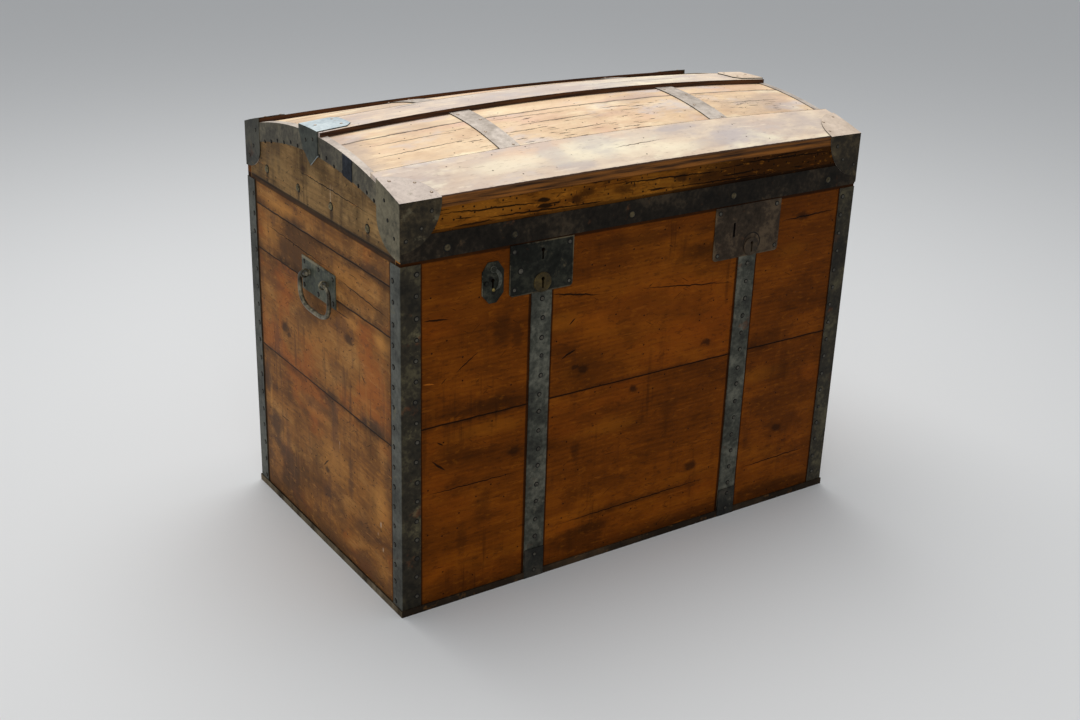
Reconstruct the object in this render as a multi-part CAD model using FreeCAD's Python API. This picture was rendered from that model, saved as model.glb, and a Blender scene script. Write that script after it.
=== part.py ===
import FreeCAD, Part
import math
import os

# A dome top trunk: a nailed box of pine boards bound in sheet iron, with a hinged lid that is
# crowned across its width and bowed along its length. Millimetres, +X along the length to the
# right, +Y from the front to the back, +Z up. The origin is the middle of the flat underside.

# ---------------------------------------------------------------- driving dimensions

# wooden box
box_length = 920.0
box_depth = 555.0
box_height = 605.0
board_thickness = 15.0
bottom_thickness = 12.0
bottom_overhang = 3.0
bottom_board_count = 3
front_joint_height = 326.0
back_joint_height = 318.0
end_joint_drops = (310.0, 127.0, 45.0)

# dome of the lid: heights of the deck's top at its edges and along its ridge
dome_edge_height = 83.0
dome_crown_height = 129.0
edge_bow = 4.0
ridge_bow = 19.0
deck_thickness = 8.0
deck_joints = (212.0, 295.0, 425.0)

# slats nailed along the dome, measured from the front face
slat_thickness = 8.0
front_slat_width = 90.0
middle_slat_start = 258.0
middle_slat_width = 74.0
rear_slat_width = 58.0

# sheet iron
corner_iron_thickness = 1.5
corner_iron_front_leg = 33.0
corner_iron_end_leg = 29.0
corner_iron_top_gap = 5.0
strap_thickness = 1.8
strap_width = 38.0
left_strap_x = -209.0
right_strap_x = 218.0
strap_lap = 55.0
strap_groove_end = 20.0
band_thickness = 1.2
band_leg_height = 32.0
band_top_leg = 12.0
splice_start = 148.0
splice_width = 30.0
rim_band_height = 39.0
rim_band_thickness = 1.5

# corner caps
cap_thickness = 1.8
cap_width = 69.0
cap_rise = 15.0
front_cap_depth = 70.0
front_cap_end_rise = 3.0
back_cap_depth = 60.0
cap_straight = 26.0

# clamps over the ends of the middle slat
clamp_thickness = 1.8
clamp_length = 62.0
clamp_bare_front = 7.0
clamp_corner = 12.0
clamp_side_drop = 30.0
clamp_tip_drop = 51.0
clamp_tip_inset = 26.0
clamp_taper = 14.0

# hinges
pin_radius = 3.0
pin_clearance = 0.05
pin_head_radius = 4.2
pin_head_thickness = 1.5
knuckle_radius = 5.0
knuckle_gap = 0.3
knuckle_end_play = 0.3
leaf_relief = 1.0

# locks
lock_plate_thickness = 1.8
lock_top_gap = 2.0
left_lock_x = -210.5
left_lock_width = 119.0
left_lock_height = 84.0
right_lock_x = 213.0
right_lock_width = 146.0
right_lock_height = 94.0
lock_corner_radius = 7.0
left_key_offset = 1.5
right_key_offset = 11.5
key_rise = 22.0
upper_key_drop = 18.0
slot_offset = -30.0
slot_drop = 43.0
slot_width = 3.0
slot_height = 24.0
disc_radius = 16.5
disc_thickness = 2.0
keyhole_radius = 3.2
keyhole_slot_width = 3.2
keyhole_height = 19.0
case_width = 92.0
case_height = 64.0
case_depth = 15.0
case_wall = 1.5
bolt_width = 5.0
bolt_length = 40.0
bolt_drop = 11.0
bolt_clearance = 0.3
bolt_throw = 10.0
bolt_tip_gap = 3.0
talon_width = 8.0
guide_thickness = 3.0
guide_clearance = 1.0
striker_plate_width = 34.0
striker_plate_height = 32.0
striker_plate_thickness = 2.5
striker_tab_thickness = 3.0
striker_tab_depth = 10.0
striker_board_gap = 1.0
striker_slot_clearance = 1.0

# keyhole escutcheon with its swinging cover
latch_x = -300.5
latch_top_gap = 22.0
latch_half_width = 19.5
latch_half_height = 33.5
latch_top_half_width = 9.0
latch_bottom_half_width = 6.5
latch_shoulder = 15.0
latch_plate_thickness = 1.8
latch_pivot_rise = 22.0
latch_pivot_radius = 2.5
latch_rivet_head_radius = 4.0
latch_rivet_head_height = 1.5
cover_thickness = 1.5
cover_gap = 0.3
cover_eye_radius = 5.5
cover_length = 34.0
cover_bow = 9.0
cover_half_width = 3.2
cover_swing = 12.0
stop_radius = 3.4

# handles
handle_plate_width = 123.0
handle_plate_height = 58.0
handle_plate_thickness = 2.0
handle_plate_drop = 86.0
handle_eye_drop = 23.0
handle_eye_spacing = 68.0
handle_eye_width = 7.0
handle_eye_wall = 4.0
handle_standoff = 10.0
bail_radius = 4.2
bail_sides = 8
bail_clearance = 0.08
bail_half_width = 55.0
bail_drop = 62.0
bail_tail = 9.0
bail_shoulder_radius = 15.0
bail_corner_radius = 22.0

# room left over the crown by the cutting blocks
dome_headroom = 60.0

# ---------------------------------------------------------------- derived places

half_length = box_length / 2.0
half_depth = box_depth / 2.0
front_face = -half_depth
back_face = half_depth
inner_front = front_face + board_thickness
inner_back = back_face - board_thickness
inner_end = half_length - board_thickness
seam = box_height
end_joint_heights = tuple(seam - drop for drop in end_joint_drops)
hinge_y = back_face + knuckle_gap + knuckle_radius
strap_places = {"left": left_strap_x, "right": right_strap_x}
front_slat = (0.0, front_slat_width)
middle_slat = (middle_slat_start, middle_slat_start + middle_slat_width)
rear_slat = (box_depth - rear_slat_width, box_depth)
lock_top = seam - lock_top_gap
latch_centre_height = seam - latch_top_gap - latch_half_height
handle_plate_top = seam - handle_plate_drop
handle_eye_height = handle_plate_top - handle_eye_drop
locks = {
    "left": {
        "centre": left_lock_x,
        "width": left_lock_width,
        "height": left_lock_height,
        "key": left_lock_x + left_key_offset,
    },
    "right": {
        "centre": right_lock_x,
        "width": right_lock_width,
        "height": right_lock_height,
        "key": right_lock_x + right_key_offset,
    },
}
sides = {"left": -1.0, "right": 1.0}


# ---------------------------------------------------------------- shape helpers

def vec(x, y, z):
    return FreeCAD.Vector(x, y, z)


def block(x, y, z):
    """A box from three (low, high) pairs."""
    size = (x[1] - x[0], y[1] - y[0], z[1] - z[0])
    return Part.makeBox(size[0], size[1], size[2], vec(x[0], y[0], z[0]))


def prism(wire, direction):
    return Part.Face(wire).extrude(direction)


def polygon(points):
    return Part.makePolygon([vec(*p) for p in points] + [vec(*points[0])])


def fuse(shapes):
    joined = shapes[0]
    for shape in shapes[1:]:
        joined = joined.fuse(shape)
    return joined.removeSplitter()


def cut(shape, tools):
    for tool in tools:
        shape = shape.cut(tool)
    return shape


def from_front(distance):
    """The Y of a distance measured back from the trunk's front face."""
    return front_face + distance


def mirrored_x(shape):
    return shape.mirror(vec(0, 0, 0), vec(1, 0, 0))


def mirrored_y(shape):
    return shape.mirror(vec(0, 0, 0), vec(0, 1, 0))


# ---------------------------------------------------------------- the dome

dome_margin = 10.0


def dome_profile(x):
    """Crown height and crown depth of the deck's top at one station along the lid.

    The deck is a parabola across, and both its edge and its crown rise towards the middle of
    the lid as parabolas of x.
    """
    rise = 1.0 - (x / half_length) ** 2
    edge = seam + dome_edge_height + edge_bow * rise
    crown = seam + dome_crown_height + ridge_bow * rise
    return crown, crown - edge


def on_dome(x, y, offset, other_y=None):
    """The point a given height over the deck's top at a place in plan.

    With a second Y it is where the tangents from both places meet.
    """
    crown, depth = dome_profile(x)
    other_y = y if other_y is None else other_y
    return vec(x, (y + other_y) / 2.0, crown - depth * y * other_y / half_depth ** 2 + offset)


def dome_curve(x, y, offset):
    """The deck's parabola at one station between two Y, moved up by an offset."""
    curve = Part.BezierCurve()
    curve.setPoles([on_dome(x, y[0], offset), on_dome(x, y[0], offset, y[1]), on_dome(x, y[1], offset)])
    return curve.toShape()


def dome_outline(x, y, high, low):
    """A closed outline at one station: the deck's curve at offset high over a foot.

    low is an offset from the deck's top, or None for a foot level with the seam.
    """
    top = dome_curve(x, y, high)
    if low is None:
        feet = [vec(x, y[0], seam), vec(x, y[1], seam)]
        foot = Part.makeLine(feet[1], feet[0])
    else:
        feet = [on_dome(x, y[0], low), on_dome(x, y[1], low)]
        foot = dome_curve(x, y, low)
    near = Part.makeLine(feet[0], on_dome(x, y[0], high))
    far = Part.makeLine(on_dome(x, y[1], high), feet[1])
    return Part.Wire(Part.__sortEdges__([near, top, far, foot]))


def dome_slab(x, y, high, low=None):
    """What lies between two offsets from the deck's top, lofted through three stations."""
    stations = (x[0], (x[0] + x[1]) / 2.0, x[1])
    return Part.makeLoft([dome_outline(place, y, high, low) for place in stations], True, False)


def under(offset):
    """Everything from the seam up to an offset from the deck's top, with a margin all round."""
    length = half_length + dome_margin
    depth = half_depth + dome_margin
    return dome_slab((-length, length), (-depth, depth), offset)


lid_top_limit = seam + dome_crown_height + ridge_bow + dome_headroom


def layer(x, depth, low, high):
    """A curved slab over a plan rectangle; depth holds two distances from the front face."""
    return dome_slab(x, (from_front(depth[0]), from_front(depth[1])), high, low)


# ---------------------------------------------------------------- wooden box

def make_front_boards():
    """Upper and lower front boards; the upper one holds the keyholes."""
    y = (front_face, inner_front)
    lower = block((-half_length, half_length), y, (bottom_thickness, front_joint_height))
    upper = block((-half_length, half_length), y, (front_joint_height, seam))
    return cut(upper, key_cutters()), lower


def make_back_boards():
    y = (inner_back, back_face)
    lower = block((-half_length, half_length), y, (bottom_thickness, back_joint_height))
    upper = block((-half_length, half_length), y, (back_joint_height, seam))
    return upper, lower


def make_end_boards(side):
    """The boards of one end, stacked between the front and back boards."""
    levels = (bottom_thickness,) + end_joint_heights + (seam,)
    boards = []
    for low, high in zip(levels[:-1], levels[1:]):
        boards.append(block((inner_end, half_length), (inner_front, inner_back), (low, high)))
    stack = Part.makeCompound(boards)
    return stack if side > 0 else mirrored_x(stack)


def make_bottom_boards():
    """Lengthwise bottom boards, grooved so that the bottom straps lie flush."""
    length = half_length + bottom_overhang
    reach = half_depth + bottom_overhang
    width = 2.0 * reach / bottom_board_count
    straps = [make_bottom_strap(x) for x in strap_places.values()]
    boards = []
    for index in range(bottom_board_count):
        start = -reach + index * width
        board = block((-length, length), (start, start + width), (0.0, bottom_thickness))
        boards.append(cut(board, straps))
    return Part.makeCompound(boards)


# ---------------------------------------------------------------- iron on the box

def make_corner_angle(x_side, y_side):
    """A bent sheet angle nailed over one upright corner."""
    thickness = corner_iron_thickness
    z = (bottom_thickness, seam - corner_iron_top_gap)
    front_leg = block((half_length - corner_iron_front_leg, half_length),
                      (half_depth, half_depth + thickness), z)
    end_leg = block((half_length, half_length + thickness),
                    (half_depth - corner_iron_end_leg, half_depth), z)
    foot = vec(half_length, half_depth, z[0])
    bend = Part.makeCylinder(thickness, z[1] - z[0], foot, vec(0, 0, 1), 90)
    angle = fuse([front_leg, bend, end_leg])
    angle = angle if x_side > 0 else mirrored_x(angle)
    return angle if y_side > 0 else mirrored_y(angle)


def strap_x(centre):
    return (centre - strap_width / 2.0, centre + strap_width / 2.0)


def make_front_strip(side):
    """The nailed strip that runs down the front from a lock plate to the bottom boards."""
    top = lock_top - locks[side]["height"]
    y = (front_face - strap_thickness, front_face)
    return block(strap_x(strap_places[side]), y, (bottom_thickness, top))


def make_bottom_strap(centre):
    """A strap bent to a wide U under the bottom, lapping the front and back straps."""
    reach = half_depth + 2.0 * strap_thickness
    inner = half_depth + strap_thickness
    x = strap_x(centre)
    outline = [
        (x[0], -reach, strap_lap),
        (x[0], -reach, 0.0),
        (x[0], reach, 0.0),
        (x[0], reach, strap_lap),
        (x[0], inner, strap_lap),
        (x[0], inner, strap_thickness),
        (x[0], -inner, strap_thickness),
        (x[0], -inner, strap_lap),
    ]
    return prism(polygon(outline), vec(strap_width, 0, 0))


def knuckle(x, bored_radius):
    """One hinge knuckle along X, bored for the pin."""
    start = vec(x[0], hinge_y, seam)
    barrel = Part.makeCylinder(knuckle_radius, x[1] - x[0], start, vec(1, 0, 0))
    hole = Part.makeCylinder(bored_radius, x[1] - x[0], start, vec(1, 0, 0))
    return barrel, hole


def knuckle_spans(centre):
    """Three knuckles across a strap: the outer two on the box, the middle one on the lid."""
    low, high = strap_x(centre)
    third = strap_width / 3.0
    left = (low, low + third)
    middle = (low + third + knuckle_end_play, high - third - knuckle_end_play)
    right = (high - third, high)
    return left, middle, right


def make_box_leaf(centre):
    """The back strap: the box leaf of a hinge, carried down to the bottom boards."""
    y = (back_face, back_face + strap_thickness)
    shoulder = seam - knuckle_radius - leaf_relief
    strap = block(strap_x(centre), y, (bottom_thickness, shoulder))
    left, _, right = knuckle_spans(centre)
    pieces = [strap]
    holes = []
    for span in (left, right):
        barrel, hole = knuckle(span, pin_radius + pin_clearance)
        pieces += [barrel, block(span, y, (shoulder, seam))]
        holes.append(hole)
    return cut(fuse(pieces), holes)


def make_hinge_pin(centre):
    """A headed pin through the three knuckles."""
    low, high = strap_x(centre)
    start = vec(low, hinge_y, seam)
    shank = Part.makeCylinder(pin_radius, high - low, start, vec(1, 0, 0))
    heads = []
    for x in (low - pin_head_thickness, high):
        place = vec(x, hinge_y, seam)
        heads.append(Part.makeCylinder(pin_head_radius, pin_head_thickness, place, vec(1, 0, 0)))
    return fuse([shank] + heads)


# ---------------------------------------------------------------- locks

def keyhole(x, z, depth):
    """A keyhole cutter through depth (low, high) in Y: a round eye over a straight slot."""
    run = vec(0, depth[1] - depth[0], 0)
    eye = Part.makeCylinder(keyhole_radius, depth[1] - depth[0], vec(x, depth[0], z), vec(0, 1, 0))
    half = keyhole_slot_width / 2.0
    foot = z + keyhole_radius - keyhole_height
    outline = polygon([(x - half, depth[0], z), (x + half, depth[0], z),
                       (x + half, depth[0], foot), (x - half, depth[0], foot)])
    return eye.fuse(prism(outline, run))


def key_height(side):
    """Height of the eye of a lock's main keyhole."""
    return lock_top - locks[side]["height"] + key_rise


def key_cutters():
    """Every keyhole and slot of the two locks and the escutcheon, through plates and board."""
    deep = (front_face - 30.0, inner_front + 1.0)
    cutters = [keyhole(locks[s]["key"], key_height(s), deep) for s in locks]
    cutters.append(keyhole(locks["left"]["key"], lock_top - upper_key_drop + keyhole_radius, deep))
    slot_x = locks["right"]["centre"] + slot_offset
    slot_z = lock_top - slot_drop
    half = slot_width / 2.0
    cutters.append(block((slot_x - half, slot_x + half), deep,
                         (slot_z - slot_height / 2.0, slot_z + slot_height / 2.0)))
    cutters.append(keyhole(latch_x, latch_centre_height + keyhole_radius, deep))
    return cutters


def make_lock_plate(side):
    """A lock's face plate with rounded lower corners."""
    lock = locks[side]
    y = front_face - lock_plate_thickness
    half = lock["width"] / 2.0
    x = (lock["centre"] - half, lock["centre"] + half)
    plate = block(x, (y, front_face), (lock_top - lock["height"], lock_top))
    lower = [e for e in plate.Edges if is_lower_corner(e, lock_top - lock["height"])]
    plate = plate.makeFillet(lock_corner_radius, lower)
    return cut(plate, key_cutters())


def is_lower_corner(edge, z):
    bounds = edge.BoundBox
    return bounds.YLength > 0.1 and bounds.XLength < 0.01 and abs(bounds.Center.z - z) < 0.01 \
        and bounds.ZLength < 0.01


def make_key_disc(side):
    """The round key escutcheon standing on a lock plate, its rim bevelled."""
    place = vec(locks[side]["key"], front_face - lock_plate_thickness, disc_height(side))
    disc = bevelled_head(place, disc_radius, disc_thickness, vec(0, -1, 0))
    return cut(disc, key_cutters())


def disc_height(side):
    """The disc is centred on the keyhole as a whole."""
    return key_height(side) + keyhole_radius - keyhole_height / 2.0


def case_span(side):
    centre = locks[side]["key"]
    return (centre - case_width / 2.0, centre + case_width / 2.0)


def bolt_z():
    return lock_top - bolt_drop


def bolt_y():
    """Middle of the bolt and of the striker's eye, inside the case."""
    return inner_front + striker_board_gap + striker_tab_depth / 2.0


def tab_x(side):
    """The striker's tab stands over the middle of the lock."""
    centre = locks[side]["key"]
    return (centre - striker_tab_thickness / 2.0, centre + striker_tab_thickness / 2.0)


def make_lock_case(side):
    """A five-walled case behind the front board with two bolt guides and a striker slot."""
    x = case_span(side)
    y = (inner_front, inner_front + case_depth)
    z = (lock_top - case_height, lock_top)
    shell = block(x, y, z).cut(block((x[0] + case_wall, x[1] - case_wall),
                                     (y[0], y[1] - case_wall),
                                     (z[0] + case_wall, z[1] - case_wall)))
    guides = []
    for start in guide_places(side):
        guides.append(block((start, start + guide_thickness), y, (bolt_z() - bolt_width * 1.5, z[1])))
    gap = bolt_width / 2.0 + bolt_clearance
    way = block((x[0] + case_wall, x[1] - case_wall), (bolt_y() - gap, bolt_y() + gap),
                (bolt_z() - gap, bolt_z() + gap))
    tab = tab_x(side)
    slot = block((tab[0] - striker_slot_clearance, tab[1] + striker_slot_clearance),
                 (y[0], inner_front + striker_board_gap + striker_tab_depth + striker_slot_clearance),
                 (z[1] - case_wall, z[1]))
    return cut(fuse([shell] + guides), [way, slot])


def bolt_x(side):
    """The bolt drawn back: its tip stands clear of the striker's tab."""
    tip = tab_x(side)[0] - bolt_tip_gap
    return (tip - bolt_length, tip)


def talon_x(side):
    """The talon hangs from the middle of the bolt."""
    middle = sum(bolt_x(side)) / 2.0
    return (middle - talon_width / 2.0, middle + talon_width / 2.0)


def guide_places(side):
    """Low X of the two guides, just clear of the talon at each end of its travel."""
    low, high = talon_x(side)
    return (low - guide_clearance - guide_thickness, high + bolt_throw + guide_clearance)


def make_lock_bolt(side):
    """The sliding bolt: a square bar with a talon for the key on its underside."""
    half = bolt_width / 2.0
    x = bolt_x(side)
    y = (bolt_y() - half, bolt_y() + half)
    bar = block(x, y, (bolt_z() - half, bolt_z() + half))
    low, high = talon_x(side)
    quarter = (high - low) / 4.0
    foot = bolt_z() - bolt_width * 2.0
    talon = block((low, high), y, (foot, bolt_z()))
    notch = block((low + quarter, high - quarter), y, (foot, foot + bolt_width))
    return fuse([bar, talon]).cut(notch)


def make_striker(side):
    """The lid's staple for a lock: a plate on the rim's inner face with an eyed tab below."""
    centre = locks[side]["key"]
    half = striker_plate_width / 2.0
    low = seam + case_wall
    plate = block((centre - half, centre + half), (inner_front, inner_front + striker_plate_thickness),
                  (low, low + striker_plate_height))
    start = inner_front + striker_board_gap
    y = (start, start + striker_tab_depth)
    foot = bolt_z() - bolt_width * 1.5
    tab = block(tab_x(side), y, (foot, low + bolt_width))
    gap = bolt_width / 2.0 + 2.0 * bolt_clearance
    eye = block(tab_x(side), (bolt_y() - gap, bolt_y() + gap), (bolt_z() - gap, bolt_z() + gap))
    return fuse([plate, tab]).cut(eye)


# ---------------------------------------------------------------- keyhole escutcheon

def make_latch_plate():
    """The tall escutcheon with tapered ends left of the lock."""
    y = front_face - latch_plate_thickness
    top = latch_centre_height + latch_half_height
    foot = latch_centre_height - latch_half_height
    outline = [
        (-latch_top_half_width, top),
        (latch_top_half_width, top),
        (latch_half_width, top - latch_shoulder),
        (latch_half_width, foot + latch_shoulder),
        (latch_bottom_half_width, foot),
        (-latch_bottom_half_width, foot),
        (-latch_half_width, foot + latch_shoulder),
        (-latch_half_width, top - latch_shoulder),
    ]
    plate = prism(polygon([(latch_x + x, y, z) for x, z in outline]), vec(0, latch_plate_thickness, 0))
    return cut(plate, key_cutters())


def latch_pivot():
    return vec(latch_x, front_face - latch_plate_thickness, latch_centre_height + latch_pivot_rise)


def bevelled_head(place, radius, height, direction):
    """A disc or rivet head: a low cylinder under a cone of half the height."""
    half = height / 2.0
    foot = Part.makeCylinder(radius, half, place, direction)
    bevel = Part.makeCone(radius, radius - half, half, place + direction * half, direction)
    return foot.fuse(bevel)


def make_latch_rivets():
    """The cover's headed pivot and the rivet that stops its swing to the left."""
    outward = vec(0, -1, 0)
    pivot = latch_pivot()
    stack = cover_thickness + 2.0 * cover_gap
    shank = Part.makeCylinder(latch_pivot_radius, stack, pivot, outward)
    head = Part.makeCylinder(latch_rivet_head_radius, latch_rivet_head_height,
                             pivot + outward * stack, outward)
    face = front_face - latch_plate_thickness
    stop = vec(latch_x - latch_half_width + 2.0 * stop_radius, face, latch_centre_height)
    stop_rivet = Part.makeCylinder(stop_radius, cover_gap + cover_thickness, stop, outward)
    return Part.makeCompound([shank.fuse(head), stop_rivet])


def make_keyhole_cover():
    """The swinging cover: a round eye and a bowed arm, swung aside from the keyhole."""
    pivot = latch_pivot()
    y = pivot.y - cover_gap
    base = vec(pivot.x, y, pivot.z)
    eye = Part.makeCylinder(cover_eye_radius, cover_thickness, base, vec(0, -1, 0))
    outer = bowed_arc(base, cover_bow + cover_half_width)
    inner = bowed_arc(base, cover_bow - cover_half_width)
    tip = Part.makeLine(outer[1], inner[1])
    root = Part.makeLine(inner[0], outer[0])
    wire = Part.Wire([arc_edge(outer), tip, arc_edge(inner, True), root])
    arm = prism(wire, vec(0, -cover_thickness, 0))
    hole = Part.makeCylinder(latch_pivot_radius + pin_clearance, cover_thickness, base, vec(0, -1, 0))
    cover = fuse([eye, arm]).cut(hole)
    cover.rotate(base, vec(0, -1, 0), cover_swing)
    return cover


def bowed_arc(base, bow):
    """Start, end and middle of one long edge of the hanging arm, bowed to the right."""
    shift = bow - cover_bow
    start = base + vec(shift, 0, 0)
    end = base + vec(shift, 0, -cover_length)
    middle = base + vec(bow, 0, -cover_length / 2.0)
    return start, end, middle


def arc_edge(arc, backwards=False):
    start, end, middle = arc
    if backwards:
        start, end = end, start
    return Part.Arc(start, middle, end).toShape()


# ---------------------------------------------------------------- handles

def make_handle_plate():
    """The right-hand handle's back plate."""
    x = (half_length, half_length + handle_plate_thickness)
    half = handle_plate_width / 2.0
    return block(x, (-half, half), (handle_plate_top - handle_plate_height, handle_plate_top))


def eye_centre_x():
    return half_length + handle_standoff


def make_handle_eyes():
    """Two eyes on the plate: upright rings along Y, each on a short neck."""
    root = half_length + handle_plate_thickness
    hole_radius = bail_radius + bail_clearance
    outer = hole_radius + handle_eye_wall
    eyes = []
    for side in (-1.0, 1.0):
        y = side * handle_eye_spacing / 2.0 - handle_eye_width / 2.0
        start = vec(eye_centre_x(), y, handle_eye_height)
        ring = Part.makeCylinder(outer, handle_eye_width, start, vec(0, 1, 0))
        neck = block((root, eye_centre_x()), (y, y + handle_eye_width),
                     (handle_eye_height - outer, handle_eye_height + outer))
        limit = block((root, eye_centre_x() + outer), (y, y + handle_eye_width),
                      (handle_eye_height - outer, handle_eye_height + outer))
        hole = Part.makeCylinder(hole_radius, handle_eye_width, start, vec(0, 1, 0))
        eyes.append(ring.common(limit).fuse(neck).removeSplitter().cut(hole))
    return Part.makeCompound(eyes)


def make_bail():
    """The hanging bail: a round bar with in-turned ends that pass through the eyes."""
    x = eye_centre_x()
    top = handle_eye_height
    foot = top - bail_drop
    wide = bail_half_width
    inner = handle_eye_spacing / 2.0 - handle_eye_width / 2.0 - bail_tail
    shoulder = bail_shoulder_radius
    corner = bail_corner_radius

    def at(y, z):
        return vec(x, y, z)

    def quarter(centre_y, centre_z, radius, start_angle, end_angle):
        """An arc in the YZ plane about a centre, angles from +Y towards +Z."""
        points = []
        for angle in (start_angle, (start_angle + end_angle) / 2.0, end_angle):
            turn = math.radians(angle)
            points.append(at(centre_y + radius * math.cos(turn), centre_z + radius * math.sin(turn)))
        return Part.Arc(*points).toShape()

    edges = [
        Part.makeLine(at(-inner, top), at(-wide + shoulder, top)),
        quarter(-wide + shoulder, top - shoulder, shoulder, 90.0, 180.0),
        Part.makeLine(at(-wide, top - shoulder), at(-wide, foot + corner)),
        quarter(-wide + corner, foot + corner, corner, 180.0, 270.0),
        Part.makeLine(at(-wide + corner, foot), at(wide - corner, foot)),
        quarter(wide - corner, foot + corner, corner, 270.0, 360.0),
        Part.makeLine(at(wide, foot + corner), at(wide, top - shoulder)),
        quarter(wide - shoulder, top - shoulder, shoulder, 0.0, 90.0),
        Part.makeLine(at(wide - shoulder, top), at(inner, top)),
    ]
    section = []
    for index in range(bail_sides):
        turn = 2.0 * math.pi * (index + 0.5) / bail_sides
        section.append((x + bail_radius * math.cos(turn), -inner, top + bail_radius * math.sin(turn)))
    return Part.Wire(edges).makePipeShell([polygon(section)], True, True)


# ---------------------------------------------------------------- wooden lid

def make_lid_rim(front):
    """A long rim board, its top fitted under the deck."""
    y = (front_face, inner_front) if front else (inner_back, back_face)
    return dome_slab((-half_length, half_length), y, -deck_thickness)


def make_arched_end(side):
    """An end board sawn to the dome's arch."""
    board = dome_slab((inner_end, half_length), (inner_front, inner_back), -deck_thickness)
    return board if side > 0 else mirrored_x(board)


def make_deck_planks():
    joints = (0.0,) + deck_joints + (box_depth,)
    planks = []
    for start, end in zip(joints[:-1], joints[1:]):
        planks.append(layer((-half_length, half_length), (start, end), -deck_thickness, 0.0))
    return planks


def make_slat(depth):
    """A slat laid along the dome, grooved underneath for the lid straps and band legs."""
    slat = layer((-half_length, half_length), depth, 0.0, slat_thickness)
    return cut(slat, [lid_strap_run(x) for x in strap_places.values()])


# ---------------------------------------------------------------- iron on the lid

def lid_strap_run(centre):
    """The part of a lid strap that lies on the deck."""
    return layer(strap_x(centre), (strap_groove_end, box_depth), 0.0, strap_thickness)


def make_lid_strap(centre):
    """A lid strap: hinge leaf up the rear rim, then over the dome and under the slats."""
    y = (back_face, back_face + strap_thickness)
    shoulder = seam + knuckle_radius + leaf_relief
    below = block(strap_x(centre), y, (seam, shoulder))
    riser = dome_slab(strap_x(centre), y, strap_thickness).cut(below)
    _, middle, _ = knuckle_spans(centre)
    barrel, hole = knuckle(middle, pin_radius + pin_clearance)
    tongue = block(middle, y, (seam, shoulder))
    return fuse([riser, lid_strap_run(centre), tongue, barrel]).cut(hole)


def make_arch_band(side, cutters):
    """An L-section band round an arched end: a nailed leg and a top leg between the slats."""
    outer = half_length + band_thickness
    leg = layer((half_length, outer), (0.0, box_depth), -band_leg_height, band_thickness)
    tops = []
    for start, end in ((front_slat[1], middle_slat[0]), (middle_slat[1], rear_slat[0])):
        tops.append(layer((half_length - band_top_leg, outer), (start, end), 0.0, band_thickness))
    band = fuse([leg] + tops)
    if side < 0:
        band = mirrored_x(band)
    return cut(band, cutters)


def make_splice_plate():
    """The plate nailed over the joint in the left band's leg."""
    inner = half_length + band_thickness
    depth = (splice_start, splice_start + splice_width)
    low = -band_leg_height - band_thickness
    return layer((-inner - band_thickness, -inner), depth, low, band_thickness)


def make_rim_band(cutters):
    """The flat band along the foot of the lid's front rim."""
    y = (front_face - rim_band_thickness, front_face)
    band = block((-half_length, half_length), y, (seam, seam + rim_band_height))
    return cut(band, cutters)


def make_corner_cap(x_side, y_side):
    """A three-lobed pressed cap over a lid corner.

    The sheet is the space between the lid's own corner and the same corner grown by the
    sheet's thickness. Three prisms leave a lobe on the top, one on the long side and one on
    the end.
    """
    t = cap_thickness
    depth = front_cap_depth if y_side < 0 else back_cap_depth
    end_rise = front_cap_end_rise if y_side < 0 else cap_rise
    x = (half_length - 2.0 * cap_width, half_length)
    y = (half_depth - 2.0 * depth, half_depth)
    z = (seam, lid_top_limit)
    core = block(x, y, z).common(under(slat_thickness))
    grown = block((x[0], x[1] + t), (y[0], y[1] + t), z).common(under(slat_thickness + t))
    sheet = grown.cut(core)
    cap = sheet.common(fuse([top_lobe(depth), long_lobe(), end_lobe(depth, end_rise)]))
    if x_side < 0:
        cap = mirrored_x(cap)
    if y_side < 0:
        cap = mirrored_y(cap)
    return cap


def top_lobe(depth):
    """Upright quarter-ellipse prism about the corner, seen from above."""
    t = cap_thickness
    corner = vec(half_length + t, half_depth + t, seam + dome_edge_height)
    wire = quarter_ellipse(corner, vec(-1, 0, 0), cap_width + t, vec(0, -1, 0), depth + t)
    return prism(wire, vec(0, 0, lid_top_limit - corner.z))


def long_lobe():
    """Quarter-ellipse prism on the long side, seen along Y."""
    t = cap_thickness
    shoulder = seam + dome_edge_height + slat_thickness
    corner = vec(half_length + t, half_depth, shoulder)
    drop = shoulder - (seam + cap_rise)
    wire = quarter_ellipse(corner, vec(-1, 0, 0), cap_width + t, vec(0, 0, -1), drop)
    lobe = prism(wire, vec(0, t, 0))
    upper = block((half_length - cap_width, half_length + t), (half_depth, half_depth + t),
                  (shoulder, lid_top_limit))
    return lobe.fuse(upper)


def end_lobe(depth, rise):
    """Rounded tongue on the end, seen along X, with its foot a rise above the seam."""
    t = cap_thickness
    shoulder = seam + dome_edge_height - cap_straight
    corner = vec(half_length, half_depth + t, shoulder)
    drop = shoulder - (seam + rise)
    wire = quarter_ellipse(corner, vec(0, -1, 0), depth + t, vec(0, 0, -1), drop)
    lobe = prism(wire, vec(t, 0, 0))
    upper = block((half_length, half_length + t), (half_depth - depth, half_depth + t),
                  (shoulder, lid_top_limit))
    return lobe.fuse(upper)


def quarter_ellipse(corner, axis_a, a, axis_b, b):
    """A closed wire: a quarter of an ellipse about the corner, with its two half axes."""
    start = corner + axis_a * a
    end = corner + axis_b * b
    curve = Part.BezierCurve()
    curve.setPoles([start, start + axis_b * b, end])
    curve.setWeight(2, math.sqrt(0.5))
    edges = [Part.makeLine(corner, start), curve.toShape(), Part.makeLine(end, corner)]
    return Part.Wire(edges)


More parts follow.
